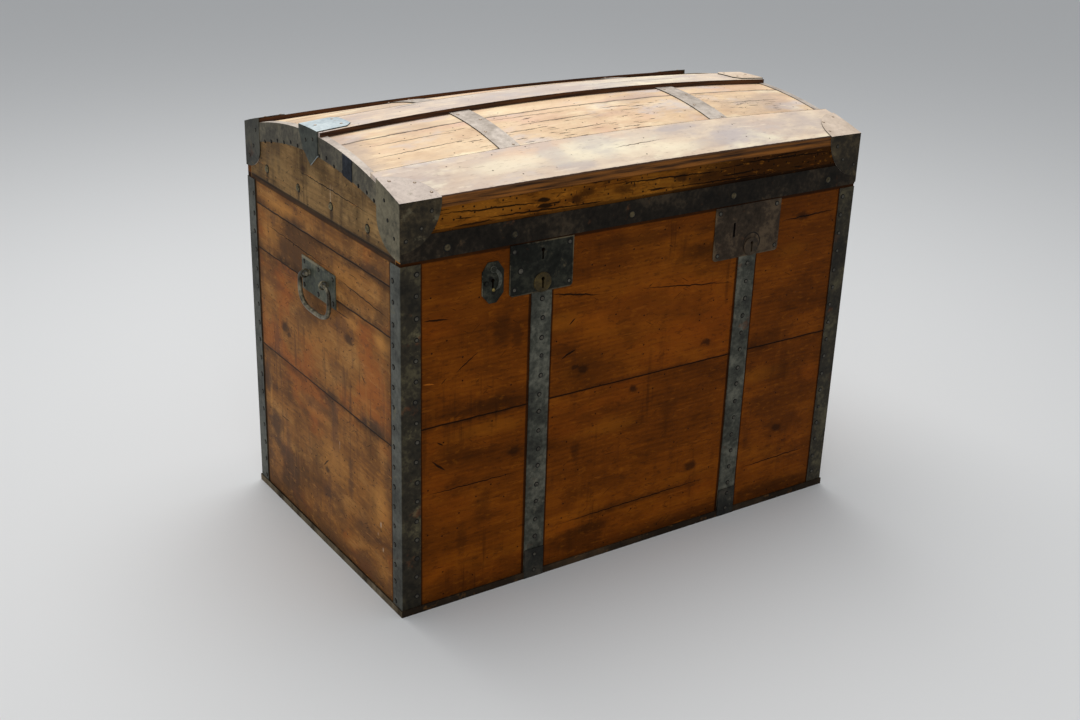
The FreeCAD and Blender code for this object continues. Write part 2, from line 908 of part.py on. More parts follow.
def make_slat_clamp(side):
    """A bent plate over an end of the middle slat: a top lobe and a pointed end lobe.

    The end lobe lies over the arch band's leg.
    """
    t = clamp_thickness
    front = middle_slat[0] + clamp_bare_front
    rear = middle_slat[1]
    inner = half_length - clamp_length
    seat = half_length + band_thickness
    plan = [
        (inner + clamp_corner, from_front(front)),
        (seat + t, from_front(front)),
        (seat + t, from_front(rear)),
        (inner + clamp_corner, from_front(rear)),
        (inner, from_front(rear) - clamp_corner),
        (inner, from_front(front) + clamp_corner),
    ]
    column = prism(polygon([(x, y, seam) for x, y in plan]), vec(0, 0, lid_top_limit - seam))
    top = column.common(under(slat_thickness + t)).cut(under(slat_thickness))
    crown = seam + dome_crown_height
    shield = [
        (front, lid_top_limit),
        (front, crown - clamp_side_drop),
        (front + clamp_tip_inset, crown - clamp_tip_drop),
        (rear - clamp_taper, crown - clamp_side_drop),
        (rear, crown),
        (rear, lid_top_limit),
    ]
    points = [(seat, from_front(d), z) for d, z in shield]
    end = prism(polygon(points), vec(t, 0, 0)).common(under(slat_thickness + t))
    clamp = fuse([top, end])
    return clamp if side > 0 else mirrored_x(clamp)


# ---------------------------------------------------------------- all the pieces

def box_wood():
    front_upper, front_lower = make_front_boards()
    back_upper, back_lower = make_back_boards()
    return {
        "front_upper_board": front_upper,
        "front_lower_board": front_lower,
        "back_upper_board": back_upper,
        "back_lower_board": back_lower,
        "left_end_boards": make_end_boards(-1.0),
        "right_end_boards": make_end_boards(1.0),
        "bottom_boards": make_bottom_boards(),
    }


def box_iron():
    pieces = {}
    for x_name, x_side in sides.items():
        for y_name, y_side in (("front", -1.0), ("back", 1.0)):
            pieces[f"{y_name}_{x_name}_corner_angle"] = make_corner_angle(x_side, y_side)
        centre = strap_places[x_name]
        pieces[f"{x_name}_front_strip"] = make_front_strip(x_name)
        pieces[f"{x_name}_bottom_strap"] = make_bottom_strap(centre)
        pieces[f"{x_name}_back_strap"] = make_box_leaf(centre)
    pieces["hinge_pins"] = Part.makeCompound([make_hinge_pin(x) for x in strap_places.values()])
    return pieces


def box_locks():
    pieces = {}
    for side in locks:
        pieces[f"{side}_lock_plate"] = make_lock_plate(side)
        pieces[f"{side}_lock_case"] = make_lock_case(side)
        pieces[f"{side}_lock_bolt"] = make_lock_bolt(side)
    pieces["key_discs"] = Part.makeCompound([make_key_disc(side) for side in locks])
    pieces["escutcheon_plate"] = make_latch_plate()
    pieces["escutcheon_rivets"] = make_latch_rivets()
    pieces["keyhole_cover"] = make_keyhole_cover()
    return pieces


def handles():
    pieces = {}
    for name, side in sides.items():
        for part, shape in (("handle_plate", make_handle_plate()), ("handle_eyes", make_handle_eyes()),
                            ("handle_bail", make_bail())):
            pieces[f"{name}_{part}"] = shape if side > 0 else mirrored_x(shape)
    return pieces


def lid_wood():
    pieces = {
        "lid_front_rim": make_lid_rim(True),
        "lid_back_rim": make_lid_rim(False),
        "lid_left_end": make_arched_end(-1.0),
        "lid_right_end": make_arched_end(1.0),
        "front_slat": make_slat(front_slat),
        "middle_slat": make_slat(middle_slat),
        "rear_slat": make_slat(rear_slat),
    }
    for number, plank in enumerate(make_deck_planks(), 1):
        pieces[f"deck_plank_{number}"] = plank
    return pieces


def lid_iron():
    caps = {}
    clamps = {}
    for x_name, x_side in sides.items():
        caps[f"front_{x_name}_corner_cap"] = make_corner_cap(x_side, -1.0)
        caps[f"back_{x_name}_corner_cap"] = make_corner_cap(x_side, 1.0)
        clamps[f"{x_name}_slat_clamp"] = make_slat_clamp(x_side)
    covers = list(caps.values())
    pieces = {**caps, **clamps}
    for x_name, x_side in sides.items():
        pieces[f"{x_name}_arch_band"] = make_arch_band(x_side, covers)
        pieces[f"{x_name}_lid_strap"] = make_lid_strap(strap_places[x_name])
    pieces["band_splice_plate"] = make_splice_plate()
    pieces["lid_rim_band"] = make_rim_band(covers)
    pieces["lid_strikers"] = Part.makeCompound([make_striker(side) for side in locks])
    return pieces


def main():
    os.makedirs("parts", exist_ok=True)
    pieces = {**box_wood(), **box_iron(), **box_locks(), **handles(), **lid_wood(), **lid_iron()}
    for node, shape in pieces.items():
        shape.exportStep(f"parts/{node}.step")
    print(len(pieces), "nodes written")


main()
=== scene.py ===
import math

import bmesh
import bpy
import numpy as np
from mathutils import Matrix, Vector
from mathutils.bvhtree import BVHTree


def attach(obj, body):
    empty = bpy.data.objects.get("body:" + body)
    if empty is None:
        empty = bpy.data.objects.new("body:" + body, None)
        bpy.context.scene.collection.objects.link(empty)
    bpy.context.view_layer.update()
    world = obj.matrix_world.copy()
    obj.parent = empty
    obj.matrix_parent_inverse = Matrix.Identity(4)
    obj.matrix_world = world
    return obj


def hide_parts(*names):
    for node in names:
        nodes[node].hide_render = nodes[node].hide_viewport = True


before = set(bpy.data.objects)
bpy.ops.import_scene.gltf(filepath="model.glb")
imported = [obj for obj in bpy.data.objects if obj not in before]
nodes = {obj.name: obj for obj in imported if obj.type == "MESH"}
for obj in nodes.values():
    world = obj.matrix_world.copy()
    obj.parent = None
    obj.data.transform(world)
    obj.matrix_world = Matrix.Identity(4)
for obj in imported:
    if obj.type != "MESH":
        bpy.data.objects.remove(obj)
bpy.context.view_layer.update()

# A dome top trunk. Metres, +X along the length to the right, +Y from front to back, +Z up.
# The frame's pieces keep their shape and place and get their finishes here. The handles' bails
# and eyes give way to smoother ones, and nail heads, a rivet end and a stud are added.
# A colour of three numbers is as seen on screen, 0 to 255.

turnRound = 2 * math.pi


def linear(colour):
    # a colour as seen on screen in the numbers that shaders use
    parts = [c / 255 for c in colour]
    parts = [c / 12.92 if c <= 0.04045 else ((c + 0.055) / 1.055) ** 2.4 for c in parts]
    return (*parts, 1.0)


class Value:
    # one output of a shader node; sums written on it add Math nodes
    def __init__(self, finish, socket):
        self.finish = finish
        self.socket = socket

    def __add__(self, other):
        return self.finish.maths("ADD", self, other)

    def __radd__(self, other):
        return self.finish.maths("ADD", other, self)

    def __sub__(self, other):
        return self.finish.maths("SUBTRACT", self, other)

    def __rsub__(self, other):
        return self.finish.maths("SUBTRACT", other, self)

    def __mul__(self, other):
        return self.finish.maths("MULTIPLY", self, other)

    def __truediv__(self, other):
        return self.finish.maths("DIVIDE", self, other)


class Finish:
    # one material, put together node by node; colour is what has been laid on so far
    def __init__(self, name):
        self.material = bpy.data.materials.new(name)
        self.material.use_nodes = True
        self.tree = self.material.node_tree
        self.shader = self.tree.nodes["Principled BSDF"]
        self.made = 0
        self.colour = None
        self.place, facing = self.node("ShaderNodeTexCoord", outputs=["Object", "Normal"])
        self.axes = self.split(self.place)
        self.facing = self.split(facing)

    def feed(self, socket, value):
        if isinstance(value, Value):
            self.tree.links.new(value.socket, socket)
        elif isinstance(value, tuple) and len(value) == 3:
            socket.default_value = linear(value)
        else:
            socket.default_value = value

    def node(self, kind, settings=None, values=None, outputs=0):
        # adds a node: its settings first, then a value or a link for each named socket
        node = self.tree.nodes.new(kind)
        node.location = (-260 - 190 * (self.made // 14), 400 - 170 * (self.made % 14))
        self.made += 1
        for key, setting in (settings or {}).items():
            setattr(node, key, setting)
        for key, value in (values or {}).items():
            self.feed(node.inputs[key], value)
        if isinstance(outputs, list):
            return [Value(self, node.outputs[key]) for key in outputs]
        return Value(self, node.outputs[outputs])

    def split(self, vector):
        parts = self.node("ShaderNodeSeparateXYZ", values={0: vector}, outputs=[0, 1, 2])
        return dict(zip("xyz", parts))

    def vector(self, x, y, z=0.0):
        return self.node("ShaderNodeCombineXYZ", values={0: x, 1: y, 2: z})

    def maths(self, operation, *numbers):
        return self.node("ShaderNodeMath", {"operation": operation}, dict(enumerate(numbers)))

    def absolute(self, value):
        return self.maths("ABSOLUTE", value)

    def length(self, first, second):
        return self.maths("SQRT", first * first + second * second)

    def either(self, first, second):
        return self.maths("MAXIMUM", first, second)

    def noise(self, vector, scale=1.0, detail=3.0, roughness=0.55):
        values = {"Vector": vector, "Scale": scale, "Detail": detail, "Roughness": roughness}
        return self.node("ShaderNodeTexNoise", values=values)

    def noiseAt(self, x, y, z=0.0, detail=3.0, roughness=0.55):
        return self.noise(self.vector(x, y, z), 1.0, detail, roughness)

    def fade(self, value, low, high):
        # 0 at low, 1 at high, smooth between; low may be the larger
        values = {"Value": value, "From Min": low, "From Max": high}
        return self.node("ShaderNodeMapRange", {"interpolation_type": "SMOOTHSTEP"}, values)

    def band(self, value, centre, half, soft):
        # 1 within half of the centre, fading out over soft
        return self.fade(self.absolute(value - centre), half + soft, half)

    def ramp(self, value, places, colours):
        made = self.node("ShaderNodeValToRGB", values={"Fac": value})
        stops = made.socket.node.color_ramp.elements
        while len(stops) < len(places):
            stops.new(0.5)
        for stop, place, colour in zip(stops, places, colours):
            stop.position = place
            stop.color = linear(colour)
        return made

    def over(self, mask, under, top):
        # the colour top laid over the colour under where the mask is 1
        return self.node("ShaderNodeMix", {"data_type": "RGBA"}, {0: mask, 6: under, 7: top}, 2)

    def lay(self, mask, top):
        self.colour = self.over(mask, self.colour, top)

    def finished(self, roughness, metallic=0.0, height=None, gleam=0.5):
        # height is in millimetres
        values = {"Base Color": self.colour, "Roughness": roughness, "Metallic": metallic,
                  "Specular IOR Level": gleam}
        if height is not None:
            bump = {"Height": height, "Distance": 0.001, "Strength": 1.0}
            values["Normal"] = self.node("ShaderNodeBump", values=bump)
        for key, value in values.items():
            self.feed(self.shader.inputs[key], value)
        return self.material


# noise of the wood: the height it goes by, its scale along the grain, across it and through
# the board, its detail and its roughness
woodNoise = {
    "sway": ("across", 2.2, 6, 5, 2, 0.55),
    "mottle": ("across", 13, 24, 9, 6, 0.64),
    "streak": ("level", 2.2, 30, 12, 5, 0.55),
    "fibre": ("level", 11, 380, 60, 2, 0.55),
    "cloud": ("across", 2.1, 5.5, 3, 3, 0.55),
    "pore": ("level", 55, 520, 80, 2, 0.55),
    "fleck": ("across", 60, 130, 60, 3, 0.6),
    "splitPatch": ("across", 6, 9, 3, 2, 0.55),
    "tick": ("across", 190, 34, 20, 3, 0.55),
    "rub": ("across", 16, 120, 30, 4, 0.55),
}
# where a mark begins in its noise, and where it is full
woodSteps = {
    "pore": (0.62, 0.74), "fleck": (0.56, 0.70), "paleFleck": (0.42, 0.30),
    "run": (0.54, 0.68), "paleRun": (0.45, 0.32), "runPatch": (0.48, 0.64),
    "lineStain": (0.62, 0.40), "rub": (0.64, 0.72), "nickPatch": (0.44, 0.56),
    "drip": (0.40, 0.56), "under": (-0.2, -0.5), "endGrain": (0.5, 0.8), "sawnTop": (0.3, 0.7),
}
rawWood = {"tones": ((112, 82, 52), (178, 142, 98)), "stain": (84, 62, 42)}


class Wood(Finish):
    # a wood finish; its three axes run along the grain, across it and through the board
    def __init__(self, name, look):
        super().__init__(name)
        self.look = look
        self.along, self.across, self.deep = [self.axes[letter] for letter in look["grain"]]
        self.board = 0.0
        for joint in look.get("joints", ()):
            self.board = self.board + self.maths("GREATER_THAN", self.across, joint)
        self.run = self.along + self.board * 3.7 + look["seed"]
        self.sway = (self.layer("sway") - 0.5) * look["sway"]
        self.knots = self.knotMask(look.get("knots", ()))
        self.level = self.across + self.sway + self.knots * 0.004
        self.mottle = self.layer("mottle")
        self.fibre = self.layer("fibre")
        self.streak = self.layer("streak")
        self.ring = self.rings()
        self.tone = self.grainTone()

    def layer(self, key):
        height, along, across, deep, detail, roughness = woodNoise[key]
        across = getattr(self, height) * across
        return self.noiseAt(self.run * along, across, self.deep * deep, detail, roughness)

    def step(self, value, key):
        return self.fade(value, *woodSteps[key])

    def crackMask(self, cracks):
        # each crack runs from (start, low) to (end, high) and is widest in the middle
        wander = (self.noiseAt(self.along * 60, self.across * 14, detail=2) - 0.5) * 0.0055
        total = 0.0
        for start, low, end, high, width in cracks:
            values = {"Value": self.along, "From Min": start, "From Max": end}
            part = self.node("ShaderNodeMapRange", values=values)
            line = part * (high - low) + low
            opened = part * (1 - part) * (4 * width)
            miss = self.absolute(self.across + wander - line)
            total = self.either(total, self.fade(opened - miss, 0.0, width * 0.5))
        return total

    def knotMask(self, knots):
        # ovals (along, across, radius) drawn out along the grain
        fray = (self.noiseAt(self.along * 80, self.across * 80, detail=2) - 0.5) * 0.012
        total = 0.0
        for along, across, radius in knots:
            miss = self.length((self.along - along) * 0.62, self.across - across) + fray
            total = self.either(total, self.fade(miss, radius, radius * 0.3))
        return total

    def smudge(self, spots, colour):
        # ragged ovals (along, across, half length, half width, strength)
        fray = (self.mottle - 0.5) * 2.2
        for along, across, wide, tall, strength in spots:
            miss = self.length((self.along - along) / wide, (self.across - across) / tall)
            self.lay(self.fade(miss + fray, 1.05, 0.25) * strength, colour)

    def rings(self):
        # growth rings: circles about a heart that sinks along the board, cut by its face
        heart = self.look["heart"]
        sink = self.along * heart["slope"] + heart["depth"]
        radius = self.length(self.level - heart["level"] - self.board * 0.045, sink)
        return self.maths("SINE", radius * (turnRound / heart["spacing"])) * 0.5 + 0.5

    def grainTone(self):
        depth = self.look["contrast"]
        tone = (self.ring - 0.5) * depth["ring"] + (self.streak - 0.5) * depth["streak"] + 0.5
        tone = tone + (self.fibre - 0.5) * depth["fibre"]
        tone = tone + (self.layer("cloud") - 0.5) * depth["cloud"]
        return tone + (self.mottle - 0.5) * depth["mottle"]

    def layGrain(self):
        look = self.look
        self.colour = self.ramp(self.tone, (0.12, 0.5, 0.88), look["tones"])
        tinges = look.get("tinges", ())
        for shift, (tinge, along, across, low, high, strength) in enumerate(tinges):
            patch = self.noiseAt(self.run * along + shift * 5.3, self.across * across + shift * 2.9,
                                 self.deep * 3, 5, 0.62)
            self.lay(self.fade(patch, low, high) * strength, tinge)
        # pale patches; on the front and the slats they are painted sheen and highlight
        self.smudge(look.get("paleAndSheens", ()), look.get("paleAndSheen"))

    def soak(self):
        # stain in the wood, and darkening towards edges: grime, and painted shade at the rim's top
        # under the front slat
        stain = self.look["stain"]
        along, across = stain["stretch"]
        soaked = self.noiseAt(self.run * along, self.across * across, self.deep * 3, 5, 0.62)
        soaked = self.fade(soaked, stain["from"], stain["to"]) * stain["strength"]
        for axis, edge, reach, strength in self.look.get("grimeAndShade", ()):
            near = self.fade(self.axes[axis] + self.sway, edge + reach, edge)
            soaked = self.either(soaked, near * strength)
        return soaked

    def layMarks(self):
        # smudges, flecks, and thin stains that have run down the boards
        look, stain = self.look, self.look["stain"]["colour"]
        self.smudge(look.get("smudges", ()), stain)
        if look.get("flecks"):
            fleck = self.layer("fleck")
            self.lay(self.step(fleck, "fleck") * look["flecks"], stain)
            self.lay(self.step(fleck, "paleFleck") * (look["flecks"] * 0.6), look["paleAndSheen"])
        if look.get("runs"):
            run = self.noiseAt(self.along * 95, self.across * 5, self.deep * 30, 4, 0.6)
            patch = self.noiseAt(self.along * 7 + look["seed"], self.across * 5, detail=2)
            patch = self.step(patch, "runPatch") * look["runs"]
            self.lay(self.step(run, "run") * patch, stain)
            self.lay(self.step(run, "paleRun") * patch * 0.2, look["paleAndSheen"])

    def holes(self):
        # worm holes at the cells' middles, and pores
        look = self.look
        values = {"Vector": self.vector(self.run, self.across), "Scale": look["wormScale"]}
        miss, cell = self.node("ShaderNodeTexVoronoi", {"voronoi_dimensions": "2D"}, values,
                               ["Distance", "Color"])
        chance = self.node("ShaderNodeSeparateColor", values={0: cell})
        radius = look["wormSize"] * look["wormScale"]
        worm = self.fade(miss, radius, radius * 0.5)
        worm = worm * self.fade(chance, look["wormShare"], look["wormShare"] + 0.05)
        return self.either(worm, self.step(self.layer("pore"), "pore") * look["pores"])

    def splits(self):
        # checks along the grain, short ticks across it, placed cracks, and black painted in as the
        # shade of the holes behind the keyholes and slots
        look = self.look
        along, across = look["splitStretch"]
        split = self.noiseAt(self.run * along, self.level * across, self.deep * 40)
        split = self.fade(split, look["splitFrom"], look["splitFrom"] + 0.035)
        patch = self.layer("splitPatch")
        split = split * self.fade(patch, look["splitPatch"], look["splitPatch"] + 0.1)
        for axis, low, high in look.get("splitOnly", ()):
            place = self.axes[axis]
            inside = self.fade(place, low - 0.004, low) * self.fade(place, high + 0.004, high)
            split = split * inside
        if "ticks" in look:
            tick = self.fade(self.layer("tick"), look["ticks"], look["ticks"] + 0.04)
            split = self.either(split, tick)
        crack = self.either(split, self.crackMask(look.get("cracks", ())))
        for along, across, wide, tall in look.get("holeShades", ()):
            holeShade = self.band(self.along, along, wide, 0.001)
            crack = self.either(crack, holeShade * self.band(self.across, across, tall, 0.001))
        return crack

    def seams(self, ragged):
        # the lines between boards with the dirt along them, and the shadows beside the iron
        look = self.look
        seam = 0.0
        for line in look.get("joints", ()):
            gap = self.band(self.across + ragged * 0.0035, line, look["lineWidth"], 0.0014)
            seam = self.either(seam, gap)
            soak = self.band(self.across + ragged * 0.016, line, 0.001, look["lineSoak"])
            soak = soak * self.step(self.mottle, "lineStain") * look["lineStain"]
            seam = self.either(seam, soak)
        for axis, line, half in look.get("shadows", ()):
            seam = self.either(seam, self.band(self.axes[axis], line, half, half) * 0.85)
        return seam

    def layScuffs(self, ragged):
        # rubbed and scraped places, slanting nicks, and pale drips
        look = self.look
        rubbed = self.step(self.layer("rub"), "rub") * look["rubs"]
        rubbed = self.either(rubbed, self.crackMask(look.get("scrapes", ())))
        self.lay(rubbed, look["rubbed"])
        if "nicks" in look:
            along, across, deep, seed = self.along, self.across, self.deep * 4, look["seed"]
            rising = self.noiseAt((along + across * 0.8) * 26 + seed,
                                  (across - along * 0.8) * 250, deep, 2)
            falling = self.noiseAt((along - across * 1.7) * 22,
                                   (across * 1.7 + along) * 210 + seed, deep, 2)
            nick = self.fade(self.either(rising, falling), look["nicks"], look["nicks"] + 0.05)
            self.lay(nick * self.step(self.mottle, "nickPatch") * 0.7, look["crack"])
        for middle, low, high, half, strength in look.get("drips", ()):
            drip = self.band(self.along + ragged * 0.004, middle, half, half * 1.5)
            drip = drip * self.band(self.across, (low + high) / 2, (high - low) / 2, 0.004)
            self.lay(drip * self.step(self.mottle, "drip") * strength, look["chalk"])

    def layInside(self, soaked, crack):
        # unfinished wood on the inner faces; returns where it is
        kind, edge = self.look["inside"]
        if kind == "under":
            raw = self.step(self.facing["z"], "under")
        else:
            raw = self.fade(self.absolute(self.axes[kind]), edge + 0.0004, edge)
        plain = self.ramp(self.tone, (0.1, 0.9), rawWood["tones"])
        plain = self.over(soaked * 0.5, plain, rawWood["stain"])
        plain = self.over(self.either(crack, self.knots) * 0.6, plain, self.look["crack"])
        self.lay(raw, plain)
        return raw

    def layEdges(self, gloss):
        # sawn edges of boards and slats, matt, with a ragged border; their dark tones are partly
        # painted shade on the slats' sides
        for axis, line, half, dark, light in self.look.get("edges", ()):
            sawn = self.noiseAt(self.along * 9 + line * 7, self.deep * 190, detail=4)
            side = self.ramp(sawn, (0.36, 0.62), (dark, light))
            side = self.over(self.step(self.facing["z"], "sawnTop") * 0.85, side, dark)
            fringe = (self.noiseAt(self.along * 90, 0.5, detail=4) - 0.5) * 0.0022
            rim = self.band(self.axes[axis] + fringe, line, half, half * 0.4)
            self.lay(rim, side)
            gloss = self.either(gloss, rim * 0.95)
        return gloss


def woodFinish(name, look):
    wood = Wood(name, look)
    wood.layGrain()
    soaked = wood.soak()
    wood.lay(soaked, look["stain"]["colour"])
    wood.layMarks()
    crack = wood.splits()
    ragged = wood.noiseAt(wood.along * 30, wood.across * 3) - 0.5
    seam = wood.seams(ragged)
    wood.layScuffs(ragged)
    wood.lay(wood.knots * 0.8, look["knot"])
    black = wood.either(wood.either(crack, seam), wood.holes())
    wood.lay(black * 0.92, look["crack"])
    gloss = soaked * 0.12 + wood.fibre * 0.16 + look["roughness"]
    if look.get("inside"):
        gloss = gloss + wood.layInside(soaked, crack) * 0.3
    if "endGrain" in look:
        turned = wood.step(wood.absolute(wood.facing["x"]), "endGrain")
        wood.lay(turned, wood.ramp(wood.mottle, (0.36, 0.64), look["endGrain"]))
    gloss = wood.layEdges(gloss)
    height = wood.ring * 0.004 + wood.fibre * 0.06 + wood.streak * 0.05 - black * 0.8
    return wood.finished(gloss, 0.0, height, look["gleam"])


# iron: what rust looks like, and the dark of pits and of painted shadow
ironMarks = {"rust": ((58, 34, 20), (112, 66, 36)), "pitAndShade": (16, 14, 12)}


def ironFinish(name, look):
    finish = Finish(name)
    x, z = finish.axes["x"], finish.axes["z"]
    cloud = finish.noise(finish.place, look["cloud"], 5, 0.62)
    grit = finish.noise(finish.place, look["grit"], 4, 0.6)
    tone = cloud + (grit - 0.5) * 0.55
    finish.colour = finish.ramp(tone, (0.32, 0.5, 0.68), look["tones"])
    # faces that look along an axis get other tones: painted light, sheen and reflection
    for axis, low, high, *tones in look.get("facing", ()):
        turned = finish.fade(finish.absolute(finish.facing[axis]), low, high)
        finish.lay(turned, finish.ramp(tone, (0.34, 0.66), tones))
    if "split" in look:
        line, *tones = look["split"]
        finish.lay(finish.fade(x, line, line + 0.01), finish.ramp(tone, (0.34, 0.66), tones))
    worn = finish.noise(finish.place, look["wearScale"], 6, 0.7)
    worn = finish.fade(worn, look["wearFrom"], look["wearFrom"] + 0.1) * look["wear"]
    finish.lay(worn, look["worn"])
    rust = finish.noise(finish.vector(x + 3.1, finish.axes["y"], z), 26, 6, 0.68)
    rust = finish.fade(rust, look["rustFrom"], look["rustFrom"] + 0.12) * look["rust"]
    finish.lay(rust, finish.ramp(grit, (0.3, 0.7), ironMarks["rust"]))

    # pits and dark spots, the latch's first one a painted shadow, round grooves and slots, then
    # edges rubbed bright, partly as painted highlight
    pitAndShade = finish.fade(finish.noise(finish.place, 420, 2), 0.62, 0.75) * 0.4
    for markX, markZ, radius, strength in look.get("spots", ()):
        miss = finish.length(x - markX, z - markZ) + (grit - 0.5) * 0.003
        pitAndShade = finish.either(pitAndShade, finish.fade(miss, radius, radius * 0.5) * strength)
    for markX, markZ, radius, half in look.get("grooves", ()):
        miss = finish.length(x - markX, z - markZ)
        pitAndShade = finish.either(pitAndShade, finish.band(miss, radius, half, half) * (cloud * 1.6))
    for markX, markZ, wide, tall in look.get("slots", ()):
        slot = finish.band(x, markX, wide, 0.0006) * finish.band(z, markZ, tall, 0.0006)
        pitAndShade = finish.either(pitAndShade, slot)
    finish.lay(pitAndShade, ironMarks["pitAndShade"])
    # the bright edges are wear and painted highlight where the edges catch the light
    for axis, line, half, strength in look.get("brights", ()):
        shine = finish.fade(cloud + (grit - 0.5) * 0.4, 0.38, 0.58)
        shine = finish.band(finish.axes[axis], line, half, half) * shine * strength
        finish.lay(shine, look["worn"])
    roughness = cloud * 0.2 + rust * 0.3 + look["roughness"]
    metallic = look["metallic"] - rust * look["metallic"]
    height = cloud * look["dents"] + grit * 0.12 - pitAndShade * 0.2 + rust * 0.08
    return finish.finished(roughness, metallic, height, look["gleam"])


def headFinish(name, look):
    # rim is 0 in the middle of a nail head and 1 at the edge of the dirt round it
    finish = Finish(name)
    rim = finish.node("ShaderNodeAttribute", {"attribute_name": "rim"}, outputs="Fac")
    grit = finish.noise(finish.place, 300, 3)
    cloud = finish.noise(finish.place, 14, 2)
    finish.colour = finish.ramp(grit + (cloud - 0.5) * 0.8, (0.3, 0.7), look["tones"])
    dirty = finish.fade(rim + (grit - 0.5) * 0.25, look["dirtFrom"], look["dirtFrom"] + 0.16)
    finish.lay(dirty, look["dirt"])
    roughness = grit * 0.25 + dirty * 0.4 + look["roughness"]
    metallic = look["metallic"] - dirty * look["metallic"]
    return finish.finished(roughness, metallic, grit * 0.2, 0.25)


def wholeLook(looks, name):
    # a look together with what it takes over from its base
    look = looks[name]
    return {**(wholeLook(looks, look["base"]) if "base" in look else {}), **look}


def inMetres(mark, count):
    return [*(number / 1000 for number in mark[:count]), *mark[count:]]


def paint(material, names):
    for name in names:
        slots = nodes[name].data.materials
        if not slots:
            slots.append(material)
        for index in range(len(slots)):
            slots[index] = material


# the camera: place in metres, angles in degrees, lens in millimetres
camera = {"place": (-1.411, -2.038, 1.305), "heading": 34.36, "drop": 22.98, "roll": 1.92,
          "lens": 48.083, "sensor": 36.0}


def makeCamera():
    # from looking straight down: raised to the drop, turned to the heading, rolled about itself
    heading, drop, roll = [math.radians(camera[key]) for key in ("heading", "drop", "roll")]
    turn = Matrix.Rotation(-heading, 4, "Z") @ Matrix.Rotation(math.pi / 2 - drop, 4, "X")
    data = bpy.data.cameras.new("camera")
    data.lens = camera["lens"]
    data.sensor_width = camera["sensor"]
    data.sensor_fit = "HORIZONTAL"
    made = bpy.data.objects.new("camera", data)
    made.matrix_world = Matrix.Translation(camera["place"]) @ turn @ Matrix.Rotation(roll, 4, "Z")
    bpy.context.scene.collection.objects.link(made)
    bpy.context.scene.camera = made


# soft lamps: a wide one over the lid and a little behind, one in front to the left
lamps = {
    "over": {"place": (0.1, 0.8, 2.9), "aim": (0, 0, 0.7), "size": 2.2, "power": 55,
             "colour": (1.0, 0.985, 0.96)},
    "front": {"place": (-2.2, -3.4, 2.3), "aim": (0, 0, 0.3), "size": 2.4, "power": 34,
              "colour": (1.0, 0.97, 0.93)},
}
surroundings = {"colour": (0.96, 0.98, 1.0, 1.0), "strength": 0.46}
floorLook = {"half": 14.0, "colour": (0.74, 0.75, 0.76, 1.0), "roughness": 0.9}


def makeLight():
    for name, lamp in lamps.items():
        data = bpy.data.lights.new(name, "AREA")
        data.energy = lamp["power"]
        data.size = lamp["size"]
        data.color = lamp["colour"]
        made = bpy.data.objects.new(name, data)
        aim = Vector(lamp["aim"]) - Vector(lamp["place"])
        made.rotation_euler = aim.to_track_quat("-Z", "Y").to_euler()
        made.location = lamp["place"]
        bpy.context.scene.collection.objects.link(made)
    world = bpy.data.worlds.new("surroundings")
    world.use_nodes = True
    background = world.node_tree.nodes["Background"]
    background.inputs["Color"].default_value = surroundings["colour"]
    background.inputs["Strength"].default_value = surroundings["strength"]
    bpy.context.scene.world = world
    bpy.context.scene.view_settings.view_transform = "Standard"


def makeFloor():
    half = floorLook["half"]
    mesh = bpy.data.meshes.new("floor")
    corners = [(x * half, y * half, 0) for x, y in ((-1, -1), (1, -1), (1, 1), (-1, 1))]
    mesh.from_pydata(corners, [], [(0, 1, 2, 3)])
    finish = Finish("floor")
    finish.colour = floorLook["colour"]
    mesh.materials.append(finish.finished(floorLook["roughness"]))
    floor = bpy.data.objects.new("floor", mesh)
    bpy.context.scene.collection.objects.link(floor)


makeCamera()
makeLight()
makeFloor()
print("camera, lamps and floor are set")


# The wood. The grain's three letters are the axes along it, across it and through the board;
# joints lie across it. Grime and shade darken towards an edge as (axis, edge, reach, strength),
# a painted shadow is (axis, line, half width) and an edge the same with two tones, all in
# metres. A tinge is a colour, its scales along and across, where it begins in its noise, where
# it is full, and its strength.
# Marks are in millimetres, along and across the grain, and some end in a strength:
# smudges and pale patches, partly painted sheen (middle, half sizes), drips (middle, low,
# high, half width), cracks, scrapes (start, end, half width), knots (middle, radius), and the
# painted shade in holes behind keyholes and slots (middle, half sizes).
markLengths = {
    "smudges": 4, "paleAndSheens": 4, "drips": 4, "cracks": 5, "scrapes": 5, "knots": 3, "holeShades": 4}
woods = {}
